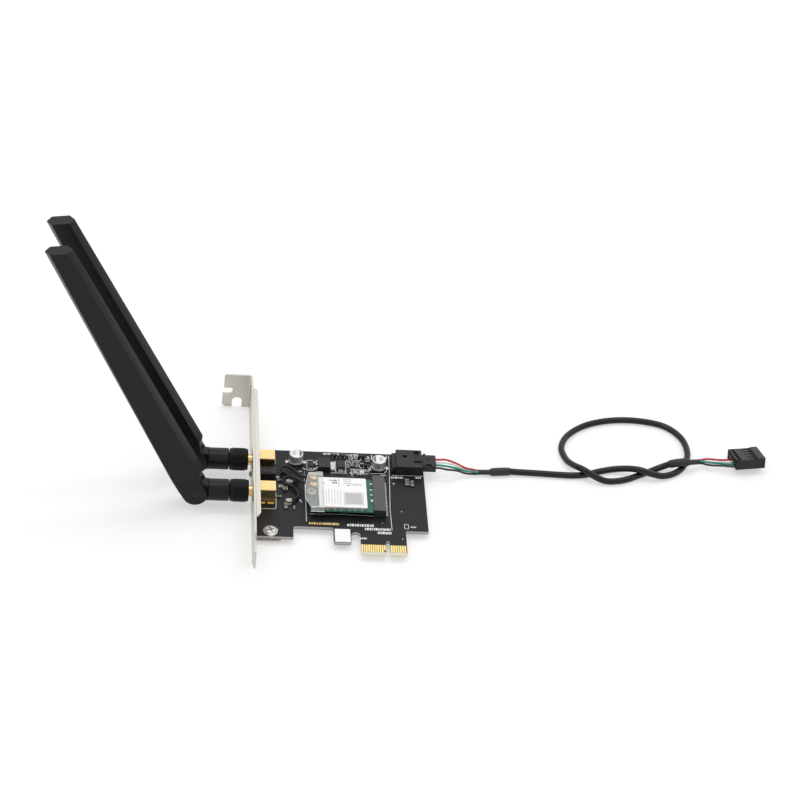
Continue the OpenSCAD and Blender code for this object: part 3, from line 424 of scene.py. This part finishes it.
def rounded_mesh(name, shape, edges, width):
    """The mesh of a shape with the given edges rounded."""
    bmesh.ops.bevel(shape, geom=edges, offset=width * MM, segments=2, profile=0.6, affect="EDGES",
                    clamp_overlap=True)
    mesh = bpy.data.meshes.new(name)
    shape.to_mesh(mesh)
    shape.free()
    mesh.set_sharp_from_angle(angle=SHADED_ANGLE)
    return mesh


def add_rounded(node, width, start_y=None):
    """A copy of a node's shape with its flat triangles joined and its sharp edges rounded.

    With start_y, what lies nearer the contact tips than that is left out."""
    shape = bmesh.new()
    shape.from_mesh(nodes[node].data)
    if start_y:
        near = [v for v in shape.verts if v.co.y < start_y * MM]
        bmesh.ops.delete(shape, geom=near, context="VERTS")
    bmesh.ops.remove_doubles(shape, verts=shape.verts, dist=SAME_PLACE)
    bmesh.ops.dissolve_limit(shape, angle_limit=FLAT_ANGLE, verts=shape.verts, edges=shape.edges)
    sharp = [e for e in shape.edges if len(e.link_faces) == 2 and e.calc_face_angle(0) > SHARP_ANGLE]
    mesh = rounded_mesh(node + "_shell", shape, sharp, width)
    piece = add_piece(node + "_shell", mesh, node_slot[node], node_body[node], node)
    weighted = piece.modifiers.new("even_faces", "WEIGHTED_NORMAL")
    weighted.keep_sharp = True
    return piece


# The cable: one loop twisted through itself, from the near plug to the far housing
JACKET_R = 1.5
WIRE_R = 0.5
WIRE_GAP = 0.06
WIRE_SPREAD = 0.3
SLEEVE_GAP = 0.12
PLUG_Y = 60.5
PIN_Z = 2.4
WIRE_PITCH = 2
HOUSING_PLACE = Vector((230.1, 75.4, 0.3))
HOUSING_ROLL = math.radians(-14.8)
HOUSING_TURN = math.radians(9.3)
HOUSING_L = 14
HOUSING_ROW_Z = -1.27
WIRE_INSIDE = 1.6
HOUSING_PITCH = 2.54
WIRE_COLOURS = ["red", "white", "green", "black"]
near_sleeve_route = [(104.1, 61, -2.05), (108, 61.2, -2.05), (110.3, 61.4, -2.05), (114, 61.9, -2.05),
                     (118.6, 62.3, -2.05)]
jacket_route = [
    (118.6, 62.3, -2.05), (124, 62.5, -2.45), (130, 62.3, -2.45), (136, 62, -2.45), (142, 61.7, -2.45),
    (148, 61.6, -2.45), (154, 62.6, -2.45), (160, 65, -2.45), (166, 66.6, -2.2), (172.5, 66.2, -1),
    (178.5, 63.6, 0.7), (184, 62.4, -0.4), (190, 63.2, -2.1), (196, 66.2, -2.45), (200.5, 71.5, -2.45),
    (203.4, 80.5, -2.45), (201.8, 91.5, -2.45), (194.5, 100, -2.45), (182, 103.3, -2.45),
    (169, 102.6, -2.45), (157, 98.2, -2.45), (148, 90.3, -2.45), (144.3, 81.5, -2.45), (145.4, 73.5, -2.3),
    (148, 67.6, -0.9), (152.4, 62.2, 0.75), (158, 59.2, -0.9), (163, 58.3, -2.3), (168.5, 58.9, -2.45),
    (173.5, 60.6, -2.45), (178.5, 63.4, -2.45), (184, 66.5, -2.45), (189, 69.1, -2), (193.4, 70.2, -0.7)]
far_sleeve_route = [(193.4, 70.2, -0.7), (197, 69.8, 0.6), (200, 69.8, 1.1), (203, 70.3, 0.8),
                    (207.4, 72.6, -0.6)]
near_sleeve_radii = [1.2, 1.2, 1.2, 1.25, 1.85, 1.9, 1.9, 1.9, 1.8]
far_sleeve_radii = [1.8, 1.9, 1.9, 1.9, 1.9, 1.85, 1.3, 1.25, 1.25]
ROUTE_STEPS = 8
CABLE_ENDS = ["usb_plug", "far_housing"]
WIRE_SIDES = 14
SLEEVE_SIDES = 28


def bundle(i, ahead):
    """Place of a wire among the four in a sleeve that runs in the direction ahead."""
    across = UP.cross(ahead).normalized()
    half = WIRE_R + WIRE_GAP / 2
    return (half if i < 2 else -half) * across + (half if i % 2 == 0 else -half) * ahead.cross(across)


def near_wire_route(i):
    """A wire's way from its contact in the plug to the mouth of the near sleeve."""
    y = PLUG_Y + (1.5 - i) * WIRE_PITCH
    sleeve = [Vector(p) for p in near_sleeve_route]
    ahead = heading(sleeve, 0)
    end = sleeve[0] + bundle(i, ahead) - SLEEVE_GAP * ahead
    side = (1.5 - i) * WIRE_SPREAD
    return [(82.5, y, PIN_Z), (86, y, PIN_Z), (89.5 - abs(side), y + side, 2.1),
            (93.5, (y * 2 + end.y) / 3 + side, 0.9), (98, (y + end.y * 2) / 3, end.z * 0.85 + 0.5),
            (101.5, (y + end.y * 5) / 6, end.z + 0.2), end]


def in_housing(x, y, z):
    """A place given in the far housing's own frame."""
    turn = Matrix.Rotation(HOUSING_TURN, 3, "Z") @ Matrix.Rotation(HOUSING_ROLL, 3, "X")
    return HOUSING_PLACE + turn @ Vector((x, y, z))


def far_wire_route(i):
    """A wire's way from the far sleeve into its hole in the housing."""
    sleeve = [Vector(p) for p in far_sleeve_route]
    ahead = heading(sleeve, len(sleeve) - 1)
    start = sleeve[-1] + bundle(i, ahead) + SLEEVE_GAP * ahead
    spread = (1.5 - i) * WIRE_SPREAD
    y = (1 - i) * HOUSING_PITCH
    face = -HOUSING_L / 2
    end = in_housing(face + WIRE_INSIDE, y, HOUSING_ROW_Z)
    door = in_housing(face - 0.4, y, HOUSING_ROW_Z)
    return [start, start + 2 * ahead + Vector((0, spread / 2, 0)),
            (start * 2 + door) / 3 + Vector((0, 0.4 + spread * 1.4, -0.3)),
            (start + door * 2) / 3 + Vector((0.4, 0.3, -0.4)),
            in_housing(face - 1.8, y * 0.94, -1.35), door, end]


def add_cable():
    pieces = [add_rounded(node, ROUNDED[node]) for node in CABLE_ENDS]
    for place, route in (("near", near_wire_route), ("far", far_wire_route)):
        for i, colour in enumerate(WIRE_COLOURS):
            node = f"wire_{colour}_{place}"
            path = curve(route(i), ROUTE_STEPS)
            pieces.append(add_tube(f"{colour}_lead_{place}", node, path, [WIRE_R], WIRE_SIDES))
    for place, route, radii in (("near", near_sleeve_route, near_sleeve_radii),
                                ("far", far_sleeve_route, far_sleeve_radii)):
        path = curve(route, ROUTE_STEPS)
        pieces.append(add_tube(f"shrink_sleeve_{place}", f"{place}_sleeve", path, radii, SLEEVE_SIDES))
    path = curve(jacket_route, ROUTE_STEPS)
    sheath = add_tube("cable_sheath", "cable_jacket", path, [JACKET_R], SLEEVE_SIDES)


add_cable()

# Coaxial leads between the module and the board
PIGTAIL_R = 0.6
PIGTAIL_SIDES = 16
pigtail_routes = {
    "pigtail_rear": [
        (26.2, 45.5, 4.3), (23.9, 45.7, 4.3), (21.7, 47, 4.2), (19.6, 50, 3.9), (17.4, 53.1, 3.4),
        (15.2, 54.5, 2.9), (13.5, 53.6, 2.4), (14, 51.5, 2.1), (16.4, 49.8, 2), (18.9, 48.8, 1.9),
        (20.8, 48.2, 1.8), (21.5, 47.1, 1.6), (20.6, 46.1, 1.4), (18.7, 46, 1.3)],
    "pigtail_front": [
        (26.2, 41, 4.3), (23.8, 41.8, 4.3), (21.6, 43, 4.2), (19.5, 45.1, 4), (17.3, 46.6, 3.6),
        (15.2, 46.4, 2.9), (14, 45, 2.2), (15.3, 43.6, 1.7), (17.5, 42.8, 1.5), (19.4, 41.1, 1.4),
        (20.5, 38.7, 1.3), (20.7, 36.3, 1.3), (19.9, 34.3, 1.3), (18.1, 33.5, 1.3)]}
for node, route in pigtail_routes.items():
    add_tube(node + "_lead", node, curve(route, ROUTE_STEPS), [PIGTAIL_R], PIGTAIL_SIDES)


# Floor, backdrop and light. A strength of 1 is white; places and sizes of lamps are in metres.
FLOOR_REACH = 4
FLOOR_GREY = (0.55, 0.55, 0.55, 1)
WHITE = (1, 1, 1, 1)
FLOOR_GLOW_SEEN = 0.48
FLOOR_GLOW_LIGHT = 0.24
WORLD_SEEN = 0.92
WORLD_LIGHT = 0.68


def seen_directly(tree, seen, otherwise):
    """One value for camera, mirror and see-through rays, another for the rest."""
    path = tree.nodes.new("ShaderNodeLightPath")
    total = path.outputs["Is Camera Ray"]
    for name in ("Is Glossy Ray", "Is Transmission Ray"):
        total = add_math(tree, "MAXIMUM", total, path.outputs[name])
    return add_range(tree, total, otherwise, seen, 0, 1)


def add_floor():
    signs = [(-1, -1), (1, -1), (1, 1), (-1, 1)]
    corners = [(x * FLOOR_REACH, y * FLOOR_REACH, FLOOR_Z) for x, y in signs]
    mesh = new_mesh("floor", corners, [(0, 1, 2, 3)])
    floor = bpy.data.objects.new("floor", mesh)
    bpy.context.scene.collection.objects.link(floor)
    material, tree, shader = start_material("floor_white")
    shader.inputs["Base Color"].default_value = FLOOR_GREY
    shader.inputs["Roughness"].default_value = 0.9
    shader.inputs["Specular IOR Level"].default_value = 0
    shader.inputs["Emission Color"].default_value = WHITE
    glow = seen_directly(tree, FLOOR_GLOW_SEEN, FLOOR_GLOW_LIGHT)
    tree.links.new(glow, shader.inputs["Emission Strength"])
    mesh.materials.append(material)


def add_world():
    world = bpy.data.worlds.new("studio")
    bpy.context.scene.world = world
    world.use_nodes = True
    tree = world.node_tree
    background = tree.nodes["Background"]
    background.inputs["Color"].default_value = WHITE
    tree.links.new(seen_directly(tree, WORLD_SEEN, WORLD_LIGHT), background.inputs["Strength"])


def add_area(name, place, target, size, power):
    data = bpy.data.lights.new(name, "AREA")
    data.shape = "RECTANGLE"
    data.size, data.size_y = size
    data.energy = power
    lamp = bpy.data.objects.new(name, data)
    bpy.context.scene.collection.objects.link(lamp)
    lamp.location = place
    lamp.rotation_euler = (Vector(target) - Vector(place)).to_track_quat("-Z", "Y").to_euler()


add_floor()
add_world()
add_area("key_light", place=(0.5, 0.9, 1.3), target=(0.05, 0.05, 0), size=(3, 3), power=12.5)
add_area("fill_light", place=(-0.9, 0.2, 1.2), target=(0.05, 0.05, 0), size=(1.8, 1.8), power=3)
add_area("strip_light", place=(0.1, 0.3, 1.4), target=(0.1, 0.05, 0), size=(1, 0.12), power=3)

# Finishes of the solids themselves, and rounded copies of those with moulded or bent edges
for node, obj in nodes.items():
    obj.data.materials.clear()
    obj.data.materials.append(finishes[OWN_FINISH.get(node, node_slot[node])])
for node, width in ROUNDED.items():
    if node not in CABLE_ENDS:
        add_rounded(node, width)
# The photograph shows no chip on the contact tongue, so those nearer the tips than this are left out
TONGUE_END_Y = 15
CHIP_ROUNDING = 0.04
for node in ("chip_parts", "chip_terminals"):
    add_rounded(node, CHIP_ROUNDING, TONGUE_END_Y)


# Printed marks, lands, solder, the clear film and small parts, all on the card
CARD = node_body["circuit_board"]
BOARD_T = 1.6
MODULE_TOP = 3.45
LABEL_TOP = 4.95
CAN_TOP = 5.2
INK_T = 0.02
LABEL_INK_T = 0.015
LABEL_FIELD_T = 0.012
LAND_T = 0.05
DISC_SIDES = 20


def box_outline(x0, y0, x1, y1):
    return [(x0, y0), (x1, y0), (x1, y1), (x0, y1)]


def disc_outline(x, y, radius):
    turns = [2 * math.pi * k / DISC_SIDES for k in range(DISC_SIDES)]
    return [(x + radius * math.cos(turn), y + radius * math.sin(turn)) for turn in turns]


def line_outlines(points, width):
    """Outlines of a printed line through the points, one for each straight stretch."""
    outlines = []
    for a, b in zip(points[:-1], points[1:]):
        start, end = Vector(a), Vector(b)
        along = (end - start).normalized() * width / 2
        side = Vector((-along.y, along.x))
        outlines.append([tuple(start - along - side), tuple(end + along - side),
                         tuple(end + along + side), tuple(start - along + side)])
    return outlines


def arc_points(x, y, radius, first, last, steps=12):
    """Points of an arc, with its two angles in degrees."""
    angles = [math.radians(first + (last - first) * k / steps) for k in range(steps + 1)]
    return [(x + radius * math.cos(a), y + radius * math.sin(a)) for a in angles]


def mark_row(x0, x1, y, height, gap, widths):
    """A row of small plain marks that stands for a line of small print."""
    outlines = []
    k = 0
    while x0 < x1:
        width = min(widths[k % len(widths)], x1 - x0)
        top = height / 2 if k % 3 else height / 2.6
        outlines.append(box_outline(x0, y - height / 2, x0 + width, y + top))
        x0 += width + gap
        k += 1
    return outlines


def turned(outlines):
    """The same outlines with X and Y exchanged, for print that runs along Y."""
    return [[(x, y) for y, x in reversed(outline)] for outline in outlines]


def add_plates(name, outlines, base, thick, slot):
    """Flat shapes with the given outlines that stand on a level face at height base."""
    points, faces = [], []
    for outline in outlines:
        faces += skin_faces(len(points), 2, len(outline))
        points += [(x * MM, y * MM, z * MM) for z in (base + thick, base) for x, y in outline]
    add_piece(name, new_mesh(name, points, faces), slot, CARD, smooth=False)


# Solder around a pin: share of the foot's radius at each share of the height
FILLET_PROFILE = [(1, 0), (0.72, 0.18), (0.52, 0.45), (0.42, 0.8), (0.3, 1)]


def add_fillets(name, places, height, radius):
    """Round solder fillets under the board, wide at its face and narrow at the pin's end."""
    points, faces = [], []
    for place in places:
        faces += skin_faces(len(points), len(FILLET_PROFILE), DISC_SIDES)
        for reach, depth in FILLET_PROFILE:
            z = -BOARD_T - height * depth
            points += [(x * MM, y * MM, z * MM) for x, y in disc_outline(*place, radius * reach)]
    add_piece(name, new_mesh(name, points, faces), "tin", CARD)


CAPACITORS = [(20.4, 61.1), (57.9, 59)]
JACK_YS = [34.4, 56]
PRINT_LINE = 0.26
FINE_PRINT_LINE = 0.36
PRINT_ARC_LINE = 0.3


def add_board_print():
    lines = [
        [(4.5, 27.9), (10.8, 28.1), (11, 31), (11, 39.5)],
        [(4.5, 49.9), (10.9, 49.9), (11, 52.6)],
        [(24.2, 54.4), (24.2, 20.4)],
        [(26, 25.5), (41.4, 25.9), (57.9, 25.2)],
        [(63.1, 67.5), (62.8, 54.5), (61.9, 30.7), (62.1, 16.4)],
        [(64.1, 54.1), (78.1, 54.2)],
        [(25.5, 55.4), (25.5, 62.5), (28.2, 62.6)],
        [(36.3, 54.3), (43.3, 54.4)],
        [(38.5, 62.6), (38.5, 54.9)], [(43, 62.5), (43, 54.9)],
        [(45.2, 57.4), (51.2, 57.5)], [(45.2, 54.6), (51, 54.7)],
        [(54.4, 54.8), (60.2, 55)], [(60.3, 56.4), (61.3, 58.4)],
        [(67.8, 20.6), (69.6, 20.6), (69.6, 17.6), (67.8, 17.6), (67.8, 20.6)],
        [(53.2, 66.8), (54.2, 64.3), (53.6, 66.9)]]
    fine_lines = [
        [(41, 66.7), (41.1, 67.7), (41.8, 67.8), (42.4, 67.2)], [(43.1, 67.6), (43.8, 67.8), (44.3, 67.2)],
        [(45.2, 67.6), (45.2, 66)], [(46, 67.7), (45.9, 64.7)], [(46.8, 67.8), (48.4, 67.8)],
        [(47.5, 67.4), (47.4, 65)], [(48.8, 67.8), (48.7, 65.2), (48, 63.9)], [(44.8, 63.9), (46.2, 64)],
        [(43.7, 63.3), (44.1, 62.9), (44.1, 61.5)], [(44.9, 62.3), (45.2, 59.8)],
        [(45.8, 61.6), (45.8, 59.8)], [(46.8, 62), (46.7, 59.7)],
        [(44.9, 62.9), (47.1, 63.1)], [(49.5, 63.3), (50.1, 64.3)],
        [(49.9, 61.7), (51.1, 61.8)], [(49.8, 67.2), (50.4, 67.8), (51.9, 67.8)], [(55.2, 67.8), (55.1, 65)],
        [(49.4, 60.6), (49.3, 58.9), (50.3, 58.5)], [(43.4, 59), (44.6, 59)], [(51.2, 57.6), (51.1, 54.9)],
        [(46.6, 57.4), (46.6, 55.3)], [(47.5, 56.1), (47.4, 54.7)], [(48.7, 57.6), (48.7, 54.8)],
        [(49.9, 56.6), (49.8, 54.8)], [(45, 54.5), (45.6, 55.6), (45.6, 52.1)], [(49.9, 54.4), (51.4, 54.4)],
        [(51.7, 54.4), (53, 54.4)], [(52, 57.4), (52.3, 56.4), (53.1, 57)], [(58.9, 54), (61, 53.8)],
        [(62, 67.7), (62, 65.7)], [(61.6, 59), (61.6, 57.2), (60.7, 55.4)], [(21.8, 54.7), (22.8, 54.5)],
        [(24.2, 54.4), (24.1, 47.8)], [(23.7, 56.8), (24.7, 56.1)], [(18.7, 47.9), (19.2, 47.8)]]
    # Rows of marks: start and end along X, place along Y, height, gap, and widths of the marks
    rows = [
        (33.1, 44.4, 67.6, 1, 0.3, [1.2, 0.5, 1, 0.4, 1.4]),
        (45.5, 50.8, 56, 1.7, 0.45, [0.35, 0.8, 0.35, 0.5]),
        (42.2, 54, 18.9, 1.6, 0.3, [0.9, 0.5, 1.1, 0.7]), (50, 61.7, 16.6, 1.6, 0.3, [0.5, 1, 0.8, 0.4]),
        (55.6, 61.7, 14.3, 1.6, 0.3, [0.9, 0.6, 1.1]), (63.4, 69, 52.6, 1.2, 0.3, [0.8, 0.4, 1, 0.6]),
        (74.6, 77, 53, 1.2, 0.3, [0.7, 0.5]), (70.6, 73.2, 18.9, 0.9, 0.25, [0.5, 0.3]),
        (10.9, 12.7, 50, 1.3, 0.3, [0.4, 0.6]), (12.4, 14.2, 43.9, 1.8, 0.3, [0.5, 0.35]),
        (47.5, 50.6, 10.2, 1.2, 0.3, [0.7, 0.4, 0.8])]
    outlines = [outline for line in lines for outline in line_outlines(line, PRINT_LINE)]
    outlines += [outline for line in fine_lines for outline in line_outlines(line, FINE_PRINT_LINE)]
    outlines += line_outlines(arc_points(7.2, 61.2, radius=4.1, first=48, last=-38), PRINT_ARC_LINE)
    outlines += [outline for row in rows for outline in mark_row(*row)]
    add_plates("tongue_field", [box_outline(36.5, 7.4, 43.4, 16)], 0, INK_T, "ink_bright")
    add_plates("board_print", outlines, 0, INK_T, "ink_white")
    add_plates("board_print_fields", [box_outline(26, 52.2, 32.4, 54.2)], 0, INK_T, "ink_pale")


# Places of the two receptacles on the board, which have two long lands and a short one each
RECEPTACLES = [(16.9, 45.8), (16.5, 32.8)]


def add_lands():
    boxes = [(25.95, 55.3, 28.3, 56.5), (25.95, 60.2, 28.3, 61.3), (28.3, 55.9, 30, 57.1),
             (28.3, 60.5, 30, 61.7), (36.3, 55.9, 38.2, 61.7), (39.4, 54.9, 42.6, 56),
             (39.4, 60.6, 42.1, 61.6)]
    for x, y in CAPACITORS:
        boxes += [(x - 4.6, y - 0.9, x - 2.6, y + 0.9), (x + 2.6, y - 0.9, x + 4.6, y + 0.9)]
    for x, y in RECEPTACLES:
        boxes += [(x - 0.8, y - 1.7, x + 0.8, y - 1.2), (x - 0.8, y + 1.2, x + 0.8, y + 1.7),
                  (x + 1.2, y - 0.5, x + 1.7, y + 0.5)]
    add_plates("solder_lands", [box_outline(*box) for box in boxes], 0, LAND_T, "tin")
    gold = mark_row(25.3, 38.6, 19.2, 1.5, 0.3, [0.9, 0.5, 1.1, 0.6])
    add_plates("gold_lands", gold, 0, LAND_T, "gold_plate")
    dots = [(64.4, 48.2, 0.45), (67, 29.1, 0.3), (53.9, 57.3, 0.6), (54.1, 64.9, 0.35), (21.8, 34.4, 0.45),
            (22.3, 33.2, 0.3), (61.5, 66.2, 0.5), (61.3, 64.5, 0.4), (66.5, 10.5, 0.3), (58, 20.8, 0.25)]
    add_plates("test_points", [disc_outline(*dot) for dot in dots], 0, LAND_T, "tin")


HEADER_PIN_X = 68.18
JACK_LEG_XS = [3.6, 8.7]
JACK_LEG_REACH = 2.55


def add_solder():
    header = [(HEADER_PIN_X, PLUG_Y + (i - 1.5) * WIRE_PITCH) for i in range(4)]
    legs = [(x, y + side * JACK_LEG_REACH) for y in JACK_YS for side in (-1, 1) for x in JACK_LEG_XS]
    add_fillets("pin_solder", header, height=0.8, radius=0.95)
    add_fillets("jack_solder", legs, height=0.85, radius=1.15)


SEGMENT_R = 2.7
SEGMENT_REACH = 58


def add_can_marks():
    """The printed segment and marks on the ends of the two capacitors, one turned half round.

    A segment reaches SEGMENT_REACH degrees to each side of its middle."""
    outlines = []
    for (x, y), middle, side in zip(CAPACITORS, (0, 180), (-1, 1)):
        outlines.append(arc_points(x, y, SEGMENT_R, middle - SEGMENT_REACH, middle + SEGMENT_REACH, 16))
        for row, length in ((0.9, 1.5), (0, 2), (-0.9, 1.2)):
            start = x + side * 0.9 - length / 2
            outlines += mark_row(start, start + length, y + row, 0.5, 0.2, [0.35, 0.5, 0.3])
    add_plates("can_marks", outlines, CAN_TOP, LABEL_INK_T, "ink_grey")


def add_module_print():
    pads = [box_outline(52.9, y - 0.35, 54.1, y + 0.35) for y in (43.4, 39.3, 35.8, 32.2)]
    pads.append(box_outline(53.2, 31, 54.1, 31.7))
    pads += [box_outline(x, 24.5, x + 0.9, 24.85) for x in (33, 36.4, 39.1, 42.8, 45.2, 48.4)]
    pads += [box_outline(26.4, 24.4, 32.4, 24.65), box_outline(26.5, 25.6, 28.6, 26.4)]
    add_plates("module_pads", pads, MODULE_TOP, LAND_T, "tin")


def add_label_print():
    """Dark and pale plain marks, and one even field, where the label has its print."""
    dark = mark_row(35.9, 38.3, 43.2, 1.1, 0.2, [0.6, 0.4, 0.7])
    dark += mark_row(36, 38.3, 41.6, 1.2, 0.2, [0.5, 0.7])
    dark += [box_outline(42.6, 39.9, 43.9, 40.5), box_outline(31.5, 41, 32, 41.7)]
    dark.append(box_outline(32.2, 40.4, 32.7, 41))
    soft = turned(mark_row(39, 44.8, 39, 0.5, 0.3, [0.5, 0.3, 0.7]))
    soft += mark_row(34.5, 35.5, 43.3, 1.2, 0.25, [0.35])
    for y in (44.4, 43, 41.6):
        soft += mark_row(41.1, 44.6, y, 0.7, 0.3, [0.5, 0.8, 0.35])
    for x in (45.4, 46.9, 48.4):
        soft += line_outlines(arc_points(x, 41.4, radius=0.9, first=200, last=340, steps=6), width=0.25)
    for k, x in enumerate((31.6, 32.9, 34.2, 35.5, 36.8, 38.1, 39.4)):
        start, end = 26.6 + 0.5 * (k % 3), 37.2 - 0.8 * (k % 2)
        soft += turned(mark_row(start, end, x, 0.32, 0.4, [0.9, 0.5, 1.3, 0.7]))
    border = box_outline(41, 26.9, 49.6, 35.2)
    soft += line_outlines(border + border[:1], width=0.2)
    field = box_outline(41.4, 27.3, 49.2, 34.8)
    add_plates("label_print_dark", dark, LABEL_TOP, LABEL_INK_T, "ink_grey")
    add_plates("label_print_soft", soft, LABEL_TOP, LABEL_INK_T, "ink_pale")
    add_plates("label_print_field", [field], LABEL_TOP, LABEL_FIELD_T, "ink_field")


# Clear film over the module's left end. Each row across it has its place along Y, its left edge
# along X, and its heights at that edge and over the plugs.
FILM_RIGHT = 32.1
FILM_TOP = 4.99
FILM_T = 0.05
FILM_SLOPE_X = 27.2
FILM_PLUG_X = 28.6
FILM_FLAT_XS = [30, 31, FILM_RIGHT]
FILM_FLAP = [(24.25, 4.2), (24.15, 2.6)]
RIM_STEPS = 3
RIM_SIDES = 10
film_rows = [
    (48.6, 25.6, 4.5, 4.7), (47.4, 25.45, 4.8, 4.9), (46.6, 25.3, 4.98, 4.99), (43, 24.6, 4.98, 4.99),
    (40, 24.1, 4.98, 4.99), (38.2, 23.95, 4.8, 4.85), (35.8, 23.8, 4.68, 4.7), (33, 23.7, 4.5, 4.55),
    (31.5, 23.75, 4.4, 4.5), (29, 24.6, 4.3, 4.45), (26.8, 25.5, 4.4, 4.65), (24.75, 26, 4.8, 4.97)]


def film_points():
    """Rows of points over the module, and two more for the flap that is folded down in front of it."""
    rows = []
    for y, left, edge_z, plug_z in film_rows:
        slope = [(left, y, edge_z), (FILM_SLOPE_X, y, (edge_z + plug_z) / 2), (FILM_PLUG_X, y, plug_z)]
        rows.append(slope + [(x, y, FILM_TOP) for x in FILM_FLAT_XS])
    front_xs = [point[0] for point in rows[-1]]
    return rows + [[(x, y, z) for x in front_xs] for y, z in FILM_FLAP]


def add_film():
    rows = film_points()
    count = len(rows[0])
    points = [Vector(p) * MM for row in rows for p in row]
    faces = [(r * count + c, r * count + c + 1, (r + 1) * count + c + 1, (r + 1) * count + c)
             for r in range(len(rows) - 1) for c in range(count - 1)]
    film = add_piece("clear_film", new_mesh("clear_film", points, faces), "clear_film", CARD)
    smooth = film.modifiers.new("smooth", "SUBSURF")
    smooth.levels = smooth.render_levels = 2
    thick = film.modifiers.new("thickness", "SOLIDIFY")
    thick.thickness = FILM_T * MM
    thick.offset = 0
    over_module = rows[:len(film_rows)]
    # Route and radius of each rim: a near-white tube that paints the highlight along an edge or the fold of
    # the film
    rims = {"film_edge_highlight_left": ([row[0] for row in over_module], 0.1),
            "film_edge_highlight_rear": (rows[0], 0.16),
            "film_edge_highlight_fold": ([(x, y - 0.05, z - 0.05) for x, y, z in over_module[-1]], 0.26),
            "film_edge_highlight_front": ([(x, y - 0.05, z + 0.2) for x, y, z in rows[-1]], 0.22)}
    for name, (route, radius) in rims.items():
        add_piece(name, tube_mesh(name, curve(route, RIM_STEPS), [radius], RIM_SIDES), "film_edge_highlight", CARD)


RING_STEPS = 40
RING_SIDES = 8


def add_rings(name, places, height, radius, thick, slot):
    """Flat-lying round rings of round section."""
    turns = [2 * math.pi * k / RING_STEPS for k in range(RING_STEPS)]
    rolls = [2 * math.pi * k / RING_SIDES for k in range(RING_SIDES)]
    points, faces = [], []
    for x, y in places:
        faces += skin_faces(len(points), RING_STEPS, RING_SIDES, closed=True)
        for turn in turns:
            for roll in rolls:
                reach = radius + thick * math.cos(roll)
                points.append(((x + reach * math.cos(turn)) * MM, (y + reach * math.sin(turn)) * MM,
                               (height + thick * math.sin(roll)) * MM))
    add_piece(name, new_mesh(name, points, faces), slot, CARD)


BLOCK_ROUNDING = 0.15


def add_blocks(name, blocks, slot):
    """Small moulded blocks with rounded edges, given by their lowest and highest corners."""
    shape = bmesh.new()
    for low_corner, high_corner in blocks:
        middle = (Vector(low_corner) + Vector(high_corner)) / 2
        size = Vector(high_corner) - Vector(low_corner)
        place = Matrix.Translation(middle * MM) @ Matrix.Diagonal((*(size * MM), 1))
        bmesh.ops.create_cube(shape, size=1, matrix=place)
    add_piece(name, rounded_mesh(name, shape, shape.edges[:], BLOCK_ROUNDING), slot, CARD)


BRACKET_SCREW = (8.1, 12.8)
HEADER_RIB_YS = [56, 58.3, 60.6, 62.9, 65.2]


def add_small_parts():
    """Rims of the cans, a ring on the bracket's screw, ribs at the header's rear and feet before a jack."""
    add_rings("can_rims", CAPACITORS, height=0.75, radius=3.15, thick=0.2, slot="tin")
    add_rings("screw_ring", [BRACKET_SCREW], height=0.97, radius=2.5, thick=0.2, slot="plug_tin")
    ribs = [((63.45, y - 0.65, 0.05), (64.4, y + 0.65, 2.7)) for y in HEADER_RIB_YS]
    add_blocks("header_ribs", ribs, "black_plastic")
    feet = [((3.9, 30.5, 0), (6, 31.6, 0.8)), ((6.9, 30.5, 0), (10, 31.6, 0.8))]
    add_blocks("jack_feet", feet, "gold_plate")


add_board_print()
add_lands()
add_solder()
add_can_marks()
add_module_print()
add_label_print()
add_film()
add_small_parts()
